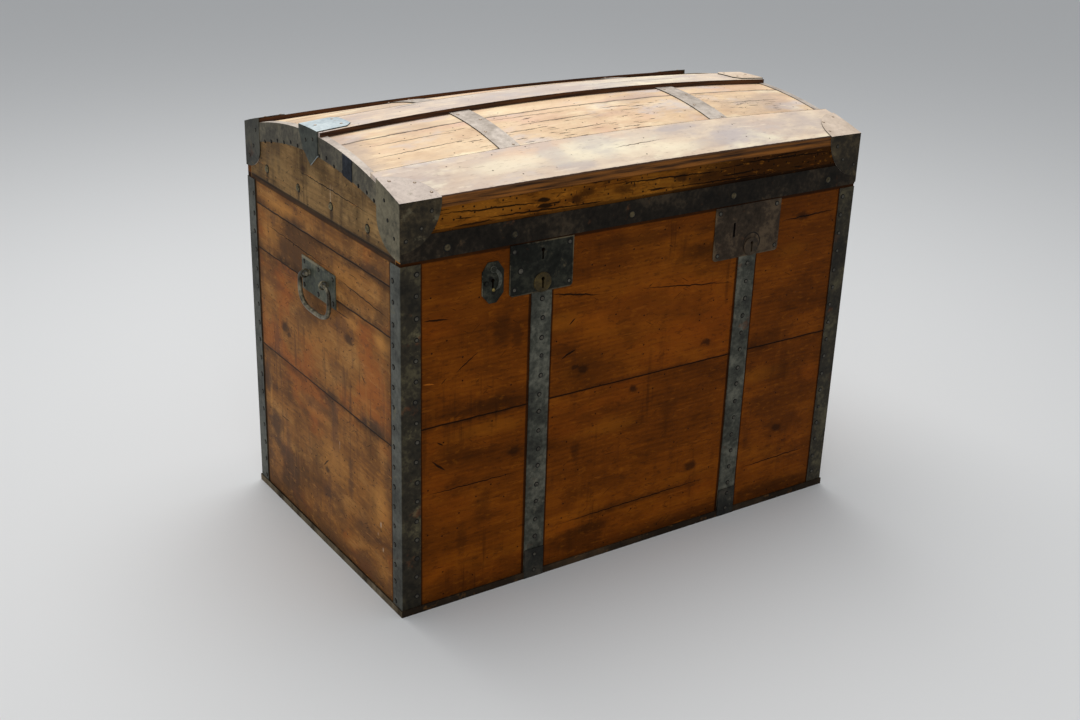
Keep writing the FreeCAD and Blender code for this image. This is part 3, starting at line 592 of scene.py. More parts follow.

# varnished pine; its dark tones partly hold painted shade, the front being less lit than the top
# and the ends
woods["front_pine"] = {
    "pieces": ("front_upper_board", "front_lower_board"), "grain": "xzy", "seed": 0.0,
    "sway": 0.018, "joints": (0.328,), "lineWidth": 0.0007, "lineSoak": 0.006, "lineStain": 0.45,
    "heart": {"level": 0.14, "depth": 0.045, "slope": 0.03, "spacing": 0.0075},
    "contrast": {"ring": 0.06, "streak": 0.5, "fibre": 0.25, "cloud": 1.0, "mottle": 0.7},
    "tones": ((62, 29, 3), (107, 54, 7), (142, 78, 13)),
    "tinges": (((134, 64, 8), 2.5, 7, 0.5, 0.68, 0.5), ((66, 34, 9), 30, 4, 0.56, 0.74, 0.4)),
    "stain": {
        "colour": (44, 22, 5), "stretch": (3.4, 6.5), "from": 0.5, "to": 0.76, "strength": 0.8},
    "grimeAndShade": (
        ("z", 0.012, 0.05, 0.7), ("z", 0.606, -0.035, 0.35), ("z", 0.64, -0.26, 0.4),
        ("x", -0.43, 0.05, 0.3), ("x", 0.43, -0.04, 0.3)),
    "smudges": (
        (-280, 470, 22, 50, 0.5), (-252, 455, 12, 40, 0.4), (-310, 342, 110, 20, 0.6),
        (-310, 170, 28, 45, 0.4), (-110, 62, 70, 14, 0.65), (65, 240, 22, 55, 0.4),
        (-80, 140, 100, 30, 0.3), (350, 420, 50, 30, 0.3), (330, 100, 80, 30, 0.35),
        (20, 575, 160, 18, 0.4), (330, 30, 100, 20, 0.5), (-360, 40, 80, 30, 0.45),
        (330, 200, 90, 90, 0.4), (10, 450, 170, 50, 0.35), (0, 87, 190, 11, 0.5),
        (-130, 215, 12, 30, 0.5), (-350, 110, 12, 40, 0.4)),
    # the front's pale patches are partly painted sheen
    "paleAndSheen": (146, 84, 16),
    "paleAndSheens": (
        (-310, 300, 90, 18, 0.4), (-80, 250, 80, 20, 0.4), (0, 420, 120, 30, 0.1),
        (270, 270, 60, 20, 0.4), (-160, 460, 50, 20, 0.4), (330, 500, 50, 20, 0.3)),
    "pores": 0.35, "wormScale": 34, "wormSize": 0.0018, "wormShare": 0.74,
    "splitStretch": (9, 260), "splitFrom": 0.72, "splitPatch": 0.5,
    "cracks": (
        (-425, 508, -375, 503, 2), (-196, 511, -86, 491, 2), (-20, 489, 200, 463, 1.4),
        (285, 559, 433, 563, 1.6), (-168, 392, -135, 407, 2.6), (-408, 270, -380, 245, 3),
        (-367, 410, -321, 441, 1.4), (-430, 211, -232, 209, 1.2), (-186, 85, 196, 89, 1.3),
        (238, 87, 424, 91, 1.2), (-153, 451, -140, 462, 2.2), (-398, 300, -385, 292, 2)),
    "scrapes": ((-424, 404, -400, 399, 1.6),),
    "knots": (
        (-121, 367, 12), (-252, 248, 12), (142, 361, 9), (-14, 307, 9), (332, 151, 12),
        (128, 124, 13), (343, 562, 12), (-137, 374, 6)),
    "holeShades": (
        (-209, 541, 10, 14), (-209, 585, 10, 14), (224.5, 531, 10, 14), (183, 560, 8, 18),
        (-300.5, 548, 10, 16)),
    "shadows": (
        ("x", -0.229, 0.0022), ("x", -0.189, 0.0022), ("x", 0.198, 0.0022), ("x", 0.238, 0.0022),
        ("x", -0.428, 0.0028), ("x", 0.428, 0.0028), ("z", 0.604, 0.003)),
    "rubs": 0.25, "rubbed": (156, 88, 24), "knot": (40, 20, 6), "crack": (17, 9, 4),
    "flecks": 0.38, "runs": 0.4, "nicks": 0.68, "roughness": 0.42, "gleam": 0.03,
    "inside": ("y", 0.2634),
}
woods["back_pine"] = {
    "pieces": ("back_upper_board", "back_lower_board", "lid_back_rim"), "base": "front_pine",
    "seed": 5.1, "joints": (0.318,),
    "cracks": ((-300, 470, -100, 466, 1.4), (60, 200, 330, 207, 1.2)), "scrapes": (),
    "knots": ((-310, 410, 12), (90, 500, 11), (300, 150, 13), (-120, 110, 11)),
    "tones": ((74, 38, 10), (114, 64, 20), (146, 88, 34)), "roughness": 0.5, "holeShades": (),
    "smudges": ((-50, 400, 100, 40, 0.4), (330, 340, 90, 20, 0.5), (-360, 160, 30, 70, 0.5)),
    "paleAndSheens": (),
}

# the ends are rubbed and stained; their tones are also lighter than the front's, as painted light
# on the ends
woods["left_end_pine"] = {
    "pieces": ("left_end_boards",), "grain": "yzx", "seed": 11.3, "sway": 0.026,
    "joints": (0.295, 0.478, 0.56), "lineWidth": 0.0009, "lineSoak": 0.018, "lineStain": 0.6,
    "heart": {"level": 0.1, "depth": 0.04, "slope": 0.05, "spacing": 0.009},
    "contrast": {"ring": 0.05, "streak": 0.8, "fibre": 0.5, "cloud": 1.1, "mottle": 1.3},
    "tones": ((100, 62, 28), (148, 97, 44), (178, 127, 68)),
    "tinges": (((164, 88, 30), 5, 6, 0.5, 0.62, 0.65), ((92, 62, 46), 22, 4, 0.55, 0.7, 0.5)),
    "stain": {
        "colour": (84, 58, 38), "stretch": (6, 3.6), "from": 0.47, "to": 0.7, "strength": 0.85},
    "grimeAndShade": (
        ("z", 0.012, 0.05, 0.6), ("y", -0.25, 0.035, 0.6), ("y", 0.25, -0.03, 0.5),
        ("z", 0.606, -0.02, 0.45)),
    "smudges": (
        (232, 236, 18, 70, 0.8), (150, 77, 50, 70, 0.75), (200, 140, 35, 70, 0.9),
        (235, 100, 30, 90, 0.6), (-120, 561, 50, 8, 0.6), (-180, 567, 60, 14, 0.7),
        (139, 500, 20, 45, 0.6), (70, 566, 50, 12, 0.4), (-182, 300, 60, 20, 0.85),
        (-25, 283, 50, 18, 0.6), (-100, 164, 12, 50, 0.6), (-50, 100, 50, 50, 0.5),
        (-143, 30, 80, 30, 0.6), (110, 470, 30, 20, 0.4), (-150, 100, 50, 50, 0.5),
        (0, 482, 80, 42, 0.35), (90, 400, 60, 30, 0.4), (-60, 350, 50, 30, 0.35),
        (20, 255, 90, 16, 0.5), (-230, 240, 20, 60, 0.5), (180, 430, 40, 20, 0.4)),
    "paleAndSheen": (196, 136, 66), "chalk": (196, 176, 150),
    "paleAndSheens": (
        (-225, 460, 40, 28, 0.8), (-120, 455, 30, 14, 0.6), (-30, 180, 70, 50, 0.5),
        (-200, 170, 50, 50, 0.6), (30, 380, 90, 30, 0.4), (50, 450, 70, 20, 0.4),
        (220, 185, 8, 90, 0.6), (50, 250, 70, 25, 0.35), (150, 575, 70, 18, 0.6),
        (190, 520, 40, 25, 0.6), (-100, 530, 80, 20, 0.4)),
    "drips": (
        (-205, 133, 138, 1.2, 0.8), (-212, 91, 94, 1.1, 0.7), (-196, 112, 116, 1.2, 0.8),
        (-200, 100, 103, 1, 0.8), (-60, 213, 222, 0.8, 0.5)),
    "pores": 0.4, "wormScale": 30, "wormSize": 0.0019, "wormShare": 0.45, "splitStretch": (8, 240),
    "splitFrom": 0.72, "splitPatch": 0.45,
    "cracks": (
        (-50, 523, 230, 531, 1.2), (-250, 506, -60, 518, 1.2), (-18, 172, 6, 150, 2.2),
        (-160, 366, -145, 380, 2)),
    "knots": ((146, 358, 14), (-101, 424, 13), (-11, 150, 8), (130, 350, 7)),
    "shadows": (("y", -0.247, 0.0025), ("y", 0.247, 0.0025), ("z", 0.6035, 0.003)), "rubs": 0.35,
    "rubbed": (196, 132, 70), "knot": (58, 38, 24), "crack": (28, 18, 10), "flecks": 0.5,
    "runs": 0.7, "nicks": 0.66, "roughness": 0.46, "gleam": 0.08, "inside": ("x", 0.4464),
}
woods["right_end_pine"] = {
    "pieces": ("right_end_boards",), "base": "left_end_pine", "seed": 23.9,
    "cracks": ((-210, 200, 20, 205, 1.2),), "knots": ((-80, 380, 14), (120, 160, 12)),
    "smudges": (
        (160, 500, 30, 60, 0.6), (-190, 100, 50, 80, 0.7), (50, 300, 70, 20, 0.6),
        (0, 490, 85, 50, 0.45)),
    "paleAndSheens": ((100, 200, 70, 50, 0.5), (-140, 420, 60, 30, 0.5), (200, 340, 40, 30, 0.4)),
    "drips": (),
}
# the bottom boards' dark tones are partly the painted shade along the floor
woods["bottom_pine"] = {
    "pieces": ("bottom_boards",), "base": "left_end_pine", "grain": "xyz", "seed": 31.7,
    "joints": (-0.0935, 0.0935), "grimeAndShade": (), "cracks": (), "shadows": (), "smudges": (),
    "knots": ((200, 20, 12), (-260, -180, 12), (-100, 200, 11)),
    "tones": ((24, 18, 13), (40, 31, 22), (70, 56, 40)), "roughness": 0.7, "tinges": (),
    "paleAndSheens": (), "drips": (), "rubs": 0.0, "flecks": 0.2,
    "stain": {"colour": (40, 30, 22), "stretch": (4, 6), "from": 0.5, "to": 0.72, "strength": 0.7},
    "endGrain": ((66, 56, 42), (124, 112, 92)), "inside": None, "runs": 0,
}

# the lid's front board, worm-eaten and full of short checks
woods["rim_pine"] = {
    "pieces": ("lid_front_rim",), "base": "front_pine", "seed": 17.2, "joints": (),
    "knots": ((-150, 661, 12), (60, 668, 14)), "holeShades": (),
    "tones": ((84, 44, 8), (154, 90, 20), (200, 134, 42)), "paleAndSheen": (196, 124, 36),
    "paleAndSheens": ((-320, 668, 110, 20, 0.8), (-180, 674, 60, 12, 0.6), (-50, 660, 60, 10, 0.3)),
    "tinges": (((60, 30, 8), 14, 22, 0.55, 0.66, 0.6),),
    "cracks": (
        (-400, 672, -200, 664, 1.8), (-330, 655, -120, 650, 1.8), (-100, 676, 160, 668, 1.8),
        (20, 654, 300, 650, 1.4), (160, 677, 410, 672, 1.8), (-380, 648, -290, 650, 2.4),
        (-225, 668, -195, 666, 5), (-225, 658, -190, 657, 5)),
    "scrapes": (), "shadows": (("z", 0.6445, 0.003),),
    # the last of these darkens the rim's top under the front slat: painted shade
    "grimeAndShade": (("z", 0.65, -0.004, 0.6), ("x", 0.22, -0.4, 0.97), ("z", 0.684, -0.008, 0.8)),
    "smudges": ((-130, 668, 20, 10, 0.7), (-50, 665, 30, 10, 0.6), (120, 660, 50, 12, 0.6)),
    "splitStretch": (16, 190), "splitFrom": 0.615, "splitPatch": 0.36, "ticks": 0.68,
    "wormScale": 60, "wormSize": 0.0021, "wormShare": 0.35, "pores": 0.6, "roughness": 0.5,
    "runs": 0,
}
woods["lid_end_pine"] = {
    "pieces": ("lid_left_end", "lid_right_end"), "base": "left_end_pine", "seed": 41.9,
    "joints": (), "cracks": ((-200, 655, 100, 662, 1.2), (0, 690, 2, 660, 1.2)),
    "knots": ((50, 668, 10),), "tones": ((84, 62, 36), (130, 99, 58), (170, 134, 84)),
    "grimeAndShade": (("z", 0.605, 0.018, 0.75), ("y", -0.262, 0.05, 0.55), ("y", 0.262, -0.03, 0.5)),
    "shadows": (("z", 0.6065, 0.002),),
    # these four smudges are painted shadows under the domed nails
    "smudges": (
        (-175.5, 620, 7, 22, 0.9), (-51.5, 620, 7, 22, 0.9), (68.5, 620, 7, 22, 0.9),
        (194.5, 620, 7, 22, 0.9)),
    "paleAndSheens": ((-160, 650, 50, 20, 0.5), (20, 660, 50, 20, 0.4), (150, 650, 50, 20, 0.4)),
    "paleAndSheen": (168, 134, 84), "tinges": (((74, 60, 44), 26, 4, 0.52, 0.66, 0.6),),
    "drips": ((-50, 630, 672, 1, 0.55), (-58, 650, 670, 0.8, 0.4)),
    "stain": {"colour": (70, 52, 32), "stretch": (9, 4), "from": 0.48, "to": 0.7, "strength": 0.8},
}

# the deck between the slats, bleached and checked; its pale tones, its palest tinge and its
# grey-lilac tinge are partly the painted sheen and reflection of the light on the lid's top
woods["deck_pine"] = {
    "pieces": ("deck_plank_1", "deck_plank_2", "deck_plank_3", "deck_plank_4"), "grain": "xyz",
    "seed": 3.3, "sway": 0.01, "joints": (-0.0655, 0.0175, 0.1475), "lineWidth": 0.0005,
    "lineSoak": 0.004, "lineStain": 0.4,
    "heart": {"level": -0.12, "depth": 0.05, "slope": 0.02, "spacing": 0.011},
    "contrast": {"ring": 0.06, "streak": 0.4, "fibre": 0.2, "cloud": 0.8, "mottle": 1.1},
    "tones": ((196, 160, 126), (224, 193, 156), (244, 220, 182)),
    "tinges": (
        ((226, 186, 160), 4, 9, 0.48, 0.66, 0.8), ((206, 196, 194), 7, 16, 0.52, 0.68, 0.7),
        ((252, 236, 200), 5, 13, 0.54, 0.68, 0.8)),
    "stain": {
        "colour": (176, 158, 146), "stretch": (5, 14), "from": 0.48, "to": 0.74, "strength": 0.6},
    "pores": 0.3, "wormScale": 46, "wormSize": 0.0015, "wormShare": 0.7, "splitStretch": (26, 270),
    "splitFrom": 0.63, "splitPatch": 0.47, "splitOnly": (("y", -0.176, -0.07),),
    "cracks": (
        (-440, -66, -240, -67, 1.6), (-430, -94, -250, -98, 1.1), (-440, -137, -250, -131, 1.2),
        (-160, -112, 20, -109, 1.4), (20, -90, 100, -91, 1.4), (260, -120, 420, -117, 1),
        (-380, -178, -240, -176, 1.4), (-100, -150, 10, -147, 1.3), (-200, -80, -20, -83, 0.9)),
    "smudges": (
        (360, -120, 110, 50, 0.5), (120, -60, 100, 20, 0.4), (-300, 110, 100, 50, 0.4),
        (-450, -90, 45, 140, 0.6)),
    "shadows": (
        ("y", -0.1866, 0.0012), ("y", -0.0209, 0.0016), ("y", 0.056, 0.0012), ("y", 0.218, 0.0012),
    ),
    "edges": (
        ("y", -0.2775, 0.003, (50, 27, 5), (132, 80, 26)),
        ("y", 0.2775, 0.003, (50, 27, 5), (110, 64, 18))),
    "rubs": 0.4, "rubbed": (252, 232, 196), "knot": (120, 78, 46), "crack": (50, 32, 22),
    "roughness": 0.44, "gleam": 0.3, "inside": ("under", 0.0),
}
# the slats are as pale, and their palest and grey tinges are partly painted sheen and reflection
# too; their pale patches are painted highlights
woods["slat_pine"] = {
    "pieces": ("front_slat", "middle_slat", "rear_slat"), "base": "deck_pine", "seed": 8.8,
    "joints": (), "tones": ((192, 166, 146), (217, 195, 172), (240, 221, 194)),
    "rubbed": (244, 228, 204),
    "tinges": (
        ((230, 196, 166), 4, 9, 0.5, 0.66, 0.7), ((200, 190, 188), 6, 14, 0.5, 0.66, 0.7),
        ((252, 240, 208), 5, 12, 0.54, 0.68, 0.9)),
    "paleAndSheen": (252, 242, 212),
    "paleAndSheens": ((-60, -225, 130, 35, 0.7), (-240, -230, 90, 25, 0.5), (60, -250, 80, 20, 0.5)),
    "smudges": (
        (0, 18, 500, 50, 0.6), (260, -235, 200, 50, 0.45), (400, -225, 40, 50, 0.3),
        (-400, -225, 50, 50, 0.3), (-160, -215, 30, 40, 0.5), (-130, -260, 50, 12, 0.5),
        (100, -200, 60, 10, 0.6)),
    "splitFrom": 0.74, "splitPatch": 0.6, "splitOnly": (), "wormShare": 0.86, "shadows": (),
    "cracks": ((-300, 40, -240, 46, 1.2), (80, 18, 300, 15, 1), (-50, -230, 60, -226, 0.9)),
    # the dark sides of the slats are partly painted shade
    "edges": (
        ("y", -0.2775, 0.0034, (44, 24, 6), (124, 76, 28)),
        ("y", -0.1875, 0.0006, (96, 72, 52), (150, 118, 90)),
        ("y", -0.0195, 0.0016, (44, 25, 11), (86, 52, 26)),
        ("y", 0.0545, 0.0014, (44, 25, 11), (86, 52, 26)),
        ("y", 0.2195, 0.0014, (44, 25, 11), (86, 52, 26)),
        ("y", 0.2775, 0.0018, (44, 25, 11), (86, 52, 26))),
    "stain": {
        "colour": (186, 176, 174), "stretch": (5, 13), "from": 0.46, "to": 0.72, "strength": 0.7},
}

for woodName in woods:
    look = wholeLook(woods, woodName)
    for key in markLengths.keys() & look.keys():
        look[key] = [inMetres(mark, markLengths[key]) for mark in look[key]]
    paint(woodFinish(woodName, look), look["pieces"])
print("wood finishes are on")


# The iron: dark, middle and light tones, wear and rust. Facing gives faces that look along an
# axis other tones, as (axis, where it begins, where it is full, dark, light): painted light,
# paler on the tops as painted sheen and reflection, lighter on the ends. Spots are (x, z,
# radius, strength), grooves (x, z, radius, half width), slots (x, z, half width, half height)
# and brights (axis, line, half width, strength), edges worn and lit as painted highlight, in
# metres.
irons = {}
irons["angle_iron"] = {
    "pieces": (
        "front_left_corner_angle", "front_right_corner_angle", "back_left_corner_angle",
        "back_right_corner_angle"),
    "cloud": 17, "grit": 130, "tones": ((26, 23, 16), (47, 42, 31), (80, 74, 54)),
    "facing": (("x", 0.5, 0.8, (56, 57, 52), (100, 101, 94)),), "wearScale": 34, "wearFrom": 0.6,
    "wear": 0.5, "worn": (112, 104, 76), "rustFrom": 0.6, "rust": 0.6, "roughness": 0.48,
    "metallic": 0.3, "dents": 0.45, "gleam": 0.2,
}
irons["strip_iron"] = {
    "pieces": ("left_front_strip", "right_front_strip"), "base": "angle_iron",
    "tones": ((40, 40, 35), (65, 66, 58), (98, 97, 86)), "worn": (118, 112, 96), "wear": 0.4,
    "rustFrom": 0.62, "rust": 0.55, "cloud": 24, "facing": (),
}
irons["lap_iron"] = {
    "pieces": ("left_bottom_strap", "right_bottom_strap"), "base": "strip_iron",
    "tones": ((24, 24, 22), (38, 38, 34), (62, 58, 50)),
}
irons["lid_strap_iron"] = {
    "pieces": ("left_lid_strap", "right_lid_strap"), "base": "strip_iron",
    "facing": (("z", 0.25, 0.6, (158, 147, 136), (202, 191, 180)),), "rust": 0.2, "rustFrom": 0.66,
    "wear": 0.15,
}
irons["back_strap_iron"] = {
    "pieces": ("left_back_strap", "right_back_strap", "hinge_pins"), "base": "strip_iron",
    "tones": ((44, 46, 46), (66, 68, 68), (92, 92, 88)),
}
irons["rim_band_iron"] = {
    "pieces": ("lid_rim_band",), "base": "angle_iron",
    "tones": ((18, 15, 11), (32, 27, 21), (58, 49, 38)), "worn": (82, 62, 40), "wear": 0.45,
    "wearFrom": 0.62, "rustFrom": 0.62, "rust": 0.5, "roughness": 0.46, "gleam": 0.08,
    "metallic": 0.2, "facing": (),
}
irons["arch_iron"] = {
    "pieces": ("left_arch_band", "right_arch_band"), "base": "angle_iron",
    "tones": ((60, 56, 48), (88, 83, 71), (120, 113, 94)),
    "facing": (("z", 0.5, 0.8, (166, 154, 144), (200, 189, 178)),), "worn": (138, 130, 102),
    "rustFrom": 0.62, "rust": 0.5,
}
irons["splice_iron"] = {
    "pieces": ("band_splice_plate",), "base": "rim_band_iron",
    "tones": ((20, 22, 27), (32, 36, 43), (54, 58, 66)), "wear": 0.2,
}

# the corner caps and the clamps of the middle slat
irons["cap_iron"] = {
    "pieces": ("back_left_corner_cap", "back_right_corner_cap"), "base": "angle_iron",
    "tones": ((24, 20, 13), (42, 36, 25), (70, 60, 42)),
    "facing": (
        ("x", 0.5, 0.8, (50, 50, 46), (88, 86, 76)),
        ("z", 0.5, 0.8, (184, 170, 158), (212, 198, 184))),
    "worn": (108, 94, 66), "rustFrom": 0.62, "rust": 0.4,
}
irons["left_cap_iron"] = {
    "pieces": ("front_left_corner_cap",), "base": "cap_iron", "wearFrom": 0.58, "wear": 0.4,
    "worn": (112, 106, 84),
    "facing": (
        ("x", 0.5, 0.8, (60, 58, 46), (128, 120, 98)),
        ("z", 0.5, 0.8, (162, 150, 141), (194, 181, 171))),
}
irons["right_cap_iron"] = {
    "pieces": ("front_right_corner_cap",), "base": "cap_iron",
    "facing": (
        ("x", 0.5, 0.8, (50, 50, 46), (88, 86, 76)),
        ("z", 0.5, 0.8, (200, 182, 164), (226, 208, 190))),
}
irons["clamp_iron"] = {
    "pieces": ("left_slat_clamp",), "base": "angle_iron",
    "tones": ((44, 48, 45), (62, 67, 63), (92, 95, 86)),
    "facing": (
        ("x", 0.5, 0.8, (48, 52, 48), (82, 86, 78)),
        ("z", 0.5, 0.8, (168, 180, 186), (204, 214, 216))),
    "worn": (120, 118, 102), "wear": 0.4, "rust": 0.3,
}
irons["right_clamp_iron"] = {
    "pieces": ("right_slat_clamp",), "base": "clamp_iron",
    "facing": (("z", 0.5, 0.8, (206, 184, 160), (232, 212, 190)),), "worn": (236, 214, 190),
}

# the lock plates and the latch
irons["left_lock_iron"] = {
    "pieces": ("left_lock_plate",), "base": "rim_band_iron",
    "tones": ((14, 15, 12), (27, 28, 24), (50, 50, 42)), "worn": (96, 86, 66), "wear": 0.6,
    "wearFrom": 0.6, "roughness": 0.44, "metallic": 0.25, "dents": 0.25,
    "spots": ((-0.257, 0.59, 0.004, 0.8), (-0.245, 0.586, 0.005, 0.5)),
    "brights": (
        ("z", 0.6026, 0.0009, 0.9), ("x", -0.1515, 0.0008, 0.8), ("x", -0.2696, 0.0007, 0.6),
        ("z", 0.5196, 0.0008, 0.5)),
}
irons["right_lock_iron"] = {
    "pieces": ("right_lock_plate",), "base": "left_lock_iron",
    "tones": ((36, 29, 21), (55, 45, 35), (84, 70, 54)), "worn": (104, 88, 66), "rust": 0.6,
    "rustFrom": 0.6, "spots": ((0.214, 0.575, 0.012, 0.25),),
    "slots": ((0.183, 0.56, 0.0021, 0.0124),), "grooves": ((0.2245, 0.531, 0.0185, 0.0007),),
    "brights": (("z", 0.5095, 0.0008, 0.4), ("x", 0.1405, 0.0008, 0.5)),
}
irons["latch_iron"] = {
    "pieces": ("escutcheon_plate", "escutcheon_rivets"), "base": "strip_iron",
    "tones": ((22, 23, 19), (37, 38, 32), (66, 66, 56)), "worn": (120, 112, 90), "gleam": 0.1,
    # the first spot is the painted shadow beside the keyhole cover's arm
    "spots": ((-0.3045, 0.556, 0.006, 0.9), (-0.299, 0.533, 0.005, 0.7)),
    "grooves": ((-0.3125, 0.5495, 0.0032, 0.0007),), "brights": (("x", -0.3198, 0.0006, 0.8),),
}
irons["cover_iron"] = {
    "pieces": ("keyhole_cover",), "base": "strip_iron",
    "tones": ((34, 35, 32), (66, 67, 60), (110, 108, 96)),
}

# the handles
irons["handle_plate_iron"] = {
    "pieces": ("left_handle_plate", "right_handle_plate"), "base": "strip_iron",
    "tones": ((46, 50, 44), (78, 82, 70), (112, 112, 94)), "worn": (136, 128, 104), "gleam": 0.3,
    "brights": (("z", 0.5178, 0.0016, 0.9),), "wearFrom": 0.56,
}
irons["handle_iron"] = {
    "pieces": ("left_handle_bail", "right_handle_bail"), "base": "strip_iron",
    "tones": ((42, 39, 31), (82, 77, 62), (138, 130, 108)), "worn": (176, 166, 140),
    "metallic": 0.5, "roughness": 0.34, "gleam": 0.4, "cloud": 40,
}
irons["eye_iron"] = {
    "pieces": ("left_handle_eyes", "right_handle_eyes"), "base": "handle_iron",
    "tones": ((46, 44, 36), (82, 78, 63), (136, 129, 106)),
}

# the locks' works and key discs
irons["inner_steel"] = {
    "pieces": (
        "left_lock_case", "right_lock_case", "left_lock_bolt", "right_lock_bolt", "lid_strikers"),
    "base": "strip_iron", "tones": ((60, 60, 58), (94, 94, 90), (126, 126, 120)), "metallic": 0.7,
    "roughness": 0.36,
}
irons["aged_brass"] = {
    "pieces": ("key_discs",), "base": "strip_iron",
    "tones": ((34, 28, 14), (62, 51, 25), (92, 77, 40)), "worn": (120, 100, 54), "metallic": 0.4,
    "roughness": 0.4, "rust": 0.4, "rustFrom": 0.6, "split": (0.0, (34, 27, 19), (70, 57, 42)),
}

ironMaterials = {}
for ironName in irons:
    look = wholeLook(irons, ironName)
    ironMaterials[ironName] = ironFinish(ironName, look)
    paint(ironMaterials[ironName], look["pieces"])
print("iron finishes are on")


def addPiece(name, vertices, faces, material, body):
    mesh = bpy.data.meshes.new(name)
    mesh.from_pydata(vertices.tolist(), [], faces)
    mesh.polygons.foreach_set("use_smooth", np.ones(len(faces), bool))
    mesh.materials.append(material)
    made = bpy.data.objects.new(name, mesh)
    bpy.context.scene.collection.objects.link(made)
    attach(made, body)
    return made


# the handles: a forged bar bent to a D that hangs in two wire eyes, each on a washer
handle = {
    "pivot": (0.470, 0.034, 0.496), "halfWidth": 0.0548, "rise": 0.022, "drop": 0.0375,
    "upperPower": 4.0, "lowerPower": 3.0, "innerEnd": 0.0215, "bar": 0.0039, "barEnd": 0.0031,
    "growth": 0.03, "endShare": 0.6, "steps": 72, "sides": 12,
    "eye": 0.0065, "wire": 0.0018, "eyeSteps": 24, "wireSides": 8,
    "plate": 0.462, "washer": 0.0050, "washerSides": 16,
    "washerDepths": (-0.0004, 0.0009, 0.0013, 0.0017, 0.0030),
    "washerShares": (1.0, 1.0, 0.9, 0.62, 0.5),
}


def turns(count):
    return np.arange(count) * (turnRound / count)


def barGrid(side):
    # the bar's middle line is a superellipse, y = w c^(2/n) and z = h s^(2/n), open at the top
    # between the ends; about it goes a circle that grows from the ends to the grip
    x, eyeSide, pivotHeight = handle["pivot"]
    wide, power = handle["halfWidth"], handle["upperPower"]
    middle = pivotHeight - handle["rise"] * (1 - (eyeSide / wide) ** power) ** (1 / power)
    start = math.acos((handle["innerEnd"] / wide) ** (power / 2))
    turn = np.linspace(start, -math.pi - start, handle["steps"])
    cosine, sine = np.cos(turn), np.sin(turn)
    power = np.where(sine > 0, handle["upperPower"], handle["lowerPower"])
    tall = np.where(sine > 0, handle["rise"], handle["drop"])
    y = wide * np.sign(cosine) * np.abs(cosine) ** (2 / power)
    z = middle + tall * np.sign(sine) * np.abs(sine) ** (2 / power)
    along = np.stack([np.gradient(y), np.gradient(z)], -1)
    along /= np.linalg.norm(along, axis=1, keepdims=True)
    share = np.clip((pivotHeight - z) / handle["growth"], 0, 1)
    share = share * share * (3 - 2 * share)
    radius = handle["barEnd"] + (handle["bar"] - handle["barEnd"]) * share
    radius[[0, -1]] *= handle["endShare"]
    about = turns(handle["sides"])[None, :]
    radius = radius[:, None]
    reach = radius * np.sin(about)
    return np.stack([side * x + radius * np.cos(about), y[:, None] - reach * along[:, 1:2],
                     z[:, None] + reach * along[:, 0:1]], -1)


def eyeGrids(side, eyeSide):
    # a torus about a line along Y, and its washer: a stepped profile turned about a line along X
    x, halfSpacing, z = handle["pivot"]
    y = eyeSide * halfSpacing
    turn = turns(handle["eyeSteps"])[:, None]
    about = turns(handle["wireSides"])[None, :]
    reach = handle["eye"] + handle["wire"] * np.cos(about)
    ring = np.stack([side * x + reach * np.cos(turn),
                     y + handle["wire"] * np.sin(about) + 0 * turn, z + reach * np.sin(turn)], -1)
    depth = np.array(handle["washerDepths"])[:, None]
    wide = np.array(handle["washerShares"])[:, None] * handle["washer"]
    turn = turns(handle["washerSides"])[None, :]
    washer = np.stack([side * (handle["plate"] + depth) + 0 * turn, y + wide * np.cos(turn),
                       z + wide * np.sin(turn)], -1)
    return [(ring, True), (washer, False)]


def coverGrids(name, grids, material, body, node):
    # quads over grids whose columns close on themselves; the rows close too, or end in caps
    vertices, faces, first = [], [], 0
    for grid, closed in grids:
        rows, columns = grid.shape[:2]
        row = np.arange(rows if closed else rows - 1)[:, None] * columns
        column = np.arange(columns)[None, :]
        onward = (row + columns) % (rows * columns)
        beside = (column + 1) % columns
        quads = [row + column, onward + column, onward + beside, row + beside]
        faces += (np.stack(quads, -1) + first).reshape(-1, 4).tolist()
        if not closed:
            ends = (first, first + (rows - 1) * columns)
            faces += [(end + column[0]).tolist() for end in ends]
        vertices.append(grid.reshape(-1, 3))
        first += rows * columns
    made = addPiece(name, np.concatenate(vertices), faces, material, body)
    work = bmesh.new()
    work.from_mesh(made.data)
    bmesh.ops.recalc_face_normals(work, faces=work.faces)
    work.to_mesh(made.data)
    work.free()
    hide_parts(node)


for end, side in (("left", -1), ("right", 1)):
    coverGrids(f"{end}_bail", [(barGrid(side), False)], ironMaterials["handle_iron"],
               f"{end}_handle_bail", f"{end}_handle_bail")
    coverGrids(f"{end}_bail_eyes", eyeGrids(side, -1) + eyeGrids(side, 1),
               ironMaterials["eye_iron"], "box", f"{end}_handle_eyes")
print("handles are in")


# where the lines that find a nail's place start, as (axis, place on it)
rayStarts = {"front": (1, -0.4), "back": (1, 0.4), "left": (0, -0.6), "right": (0, 0.6),
             "top": (2, 0.9)}


def castOnto(name, face, marks):
    # where lines onto a face first meet a node, and which way its surface looks there
    tree = BVHTree.FromObject(nodes[name], bpy.context.evaluated_depsgraph_get())
    axis, start = rayStarts[face]
    direction = Vector((0, 0, 0))
    direction[axis] = -math.copysign(1, start)
    found = []
    for mark in marks:
        origin = [*mark[:axis], start, *mark[axis:]]
        place, out, _, _ = tree.ray_cast(Vector(origin), direction)
        if place is None:
            print("no metal under a nail of", name, mark)
            continue
        found.append((tuple(place), tuple(out if out.dot(direction) < 0 else -out)))
    return found


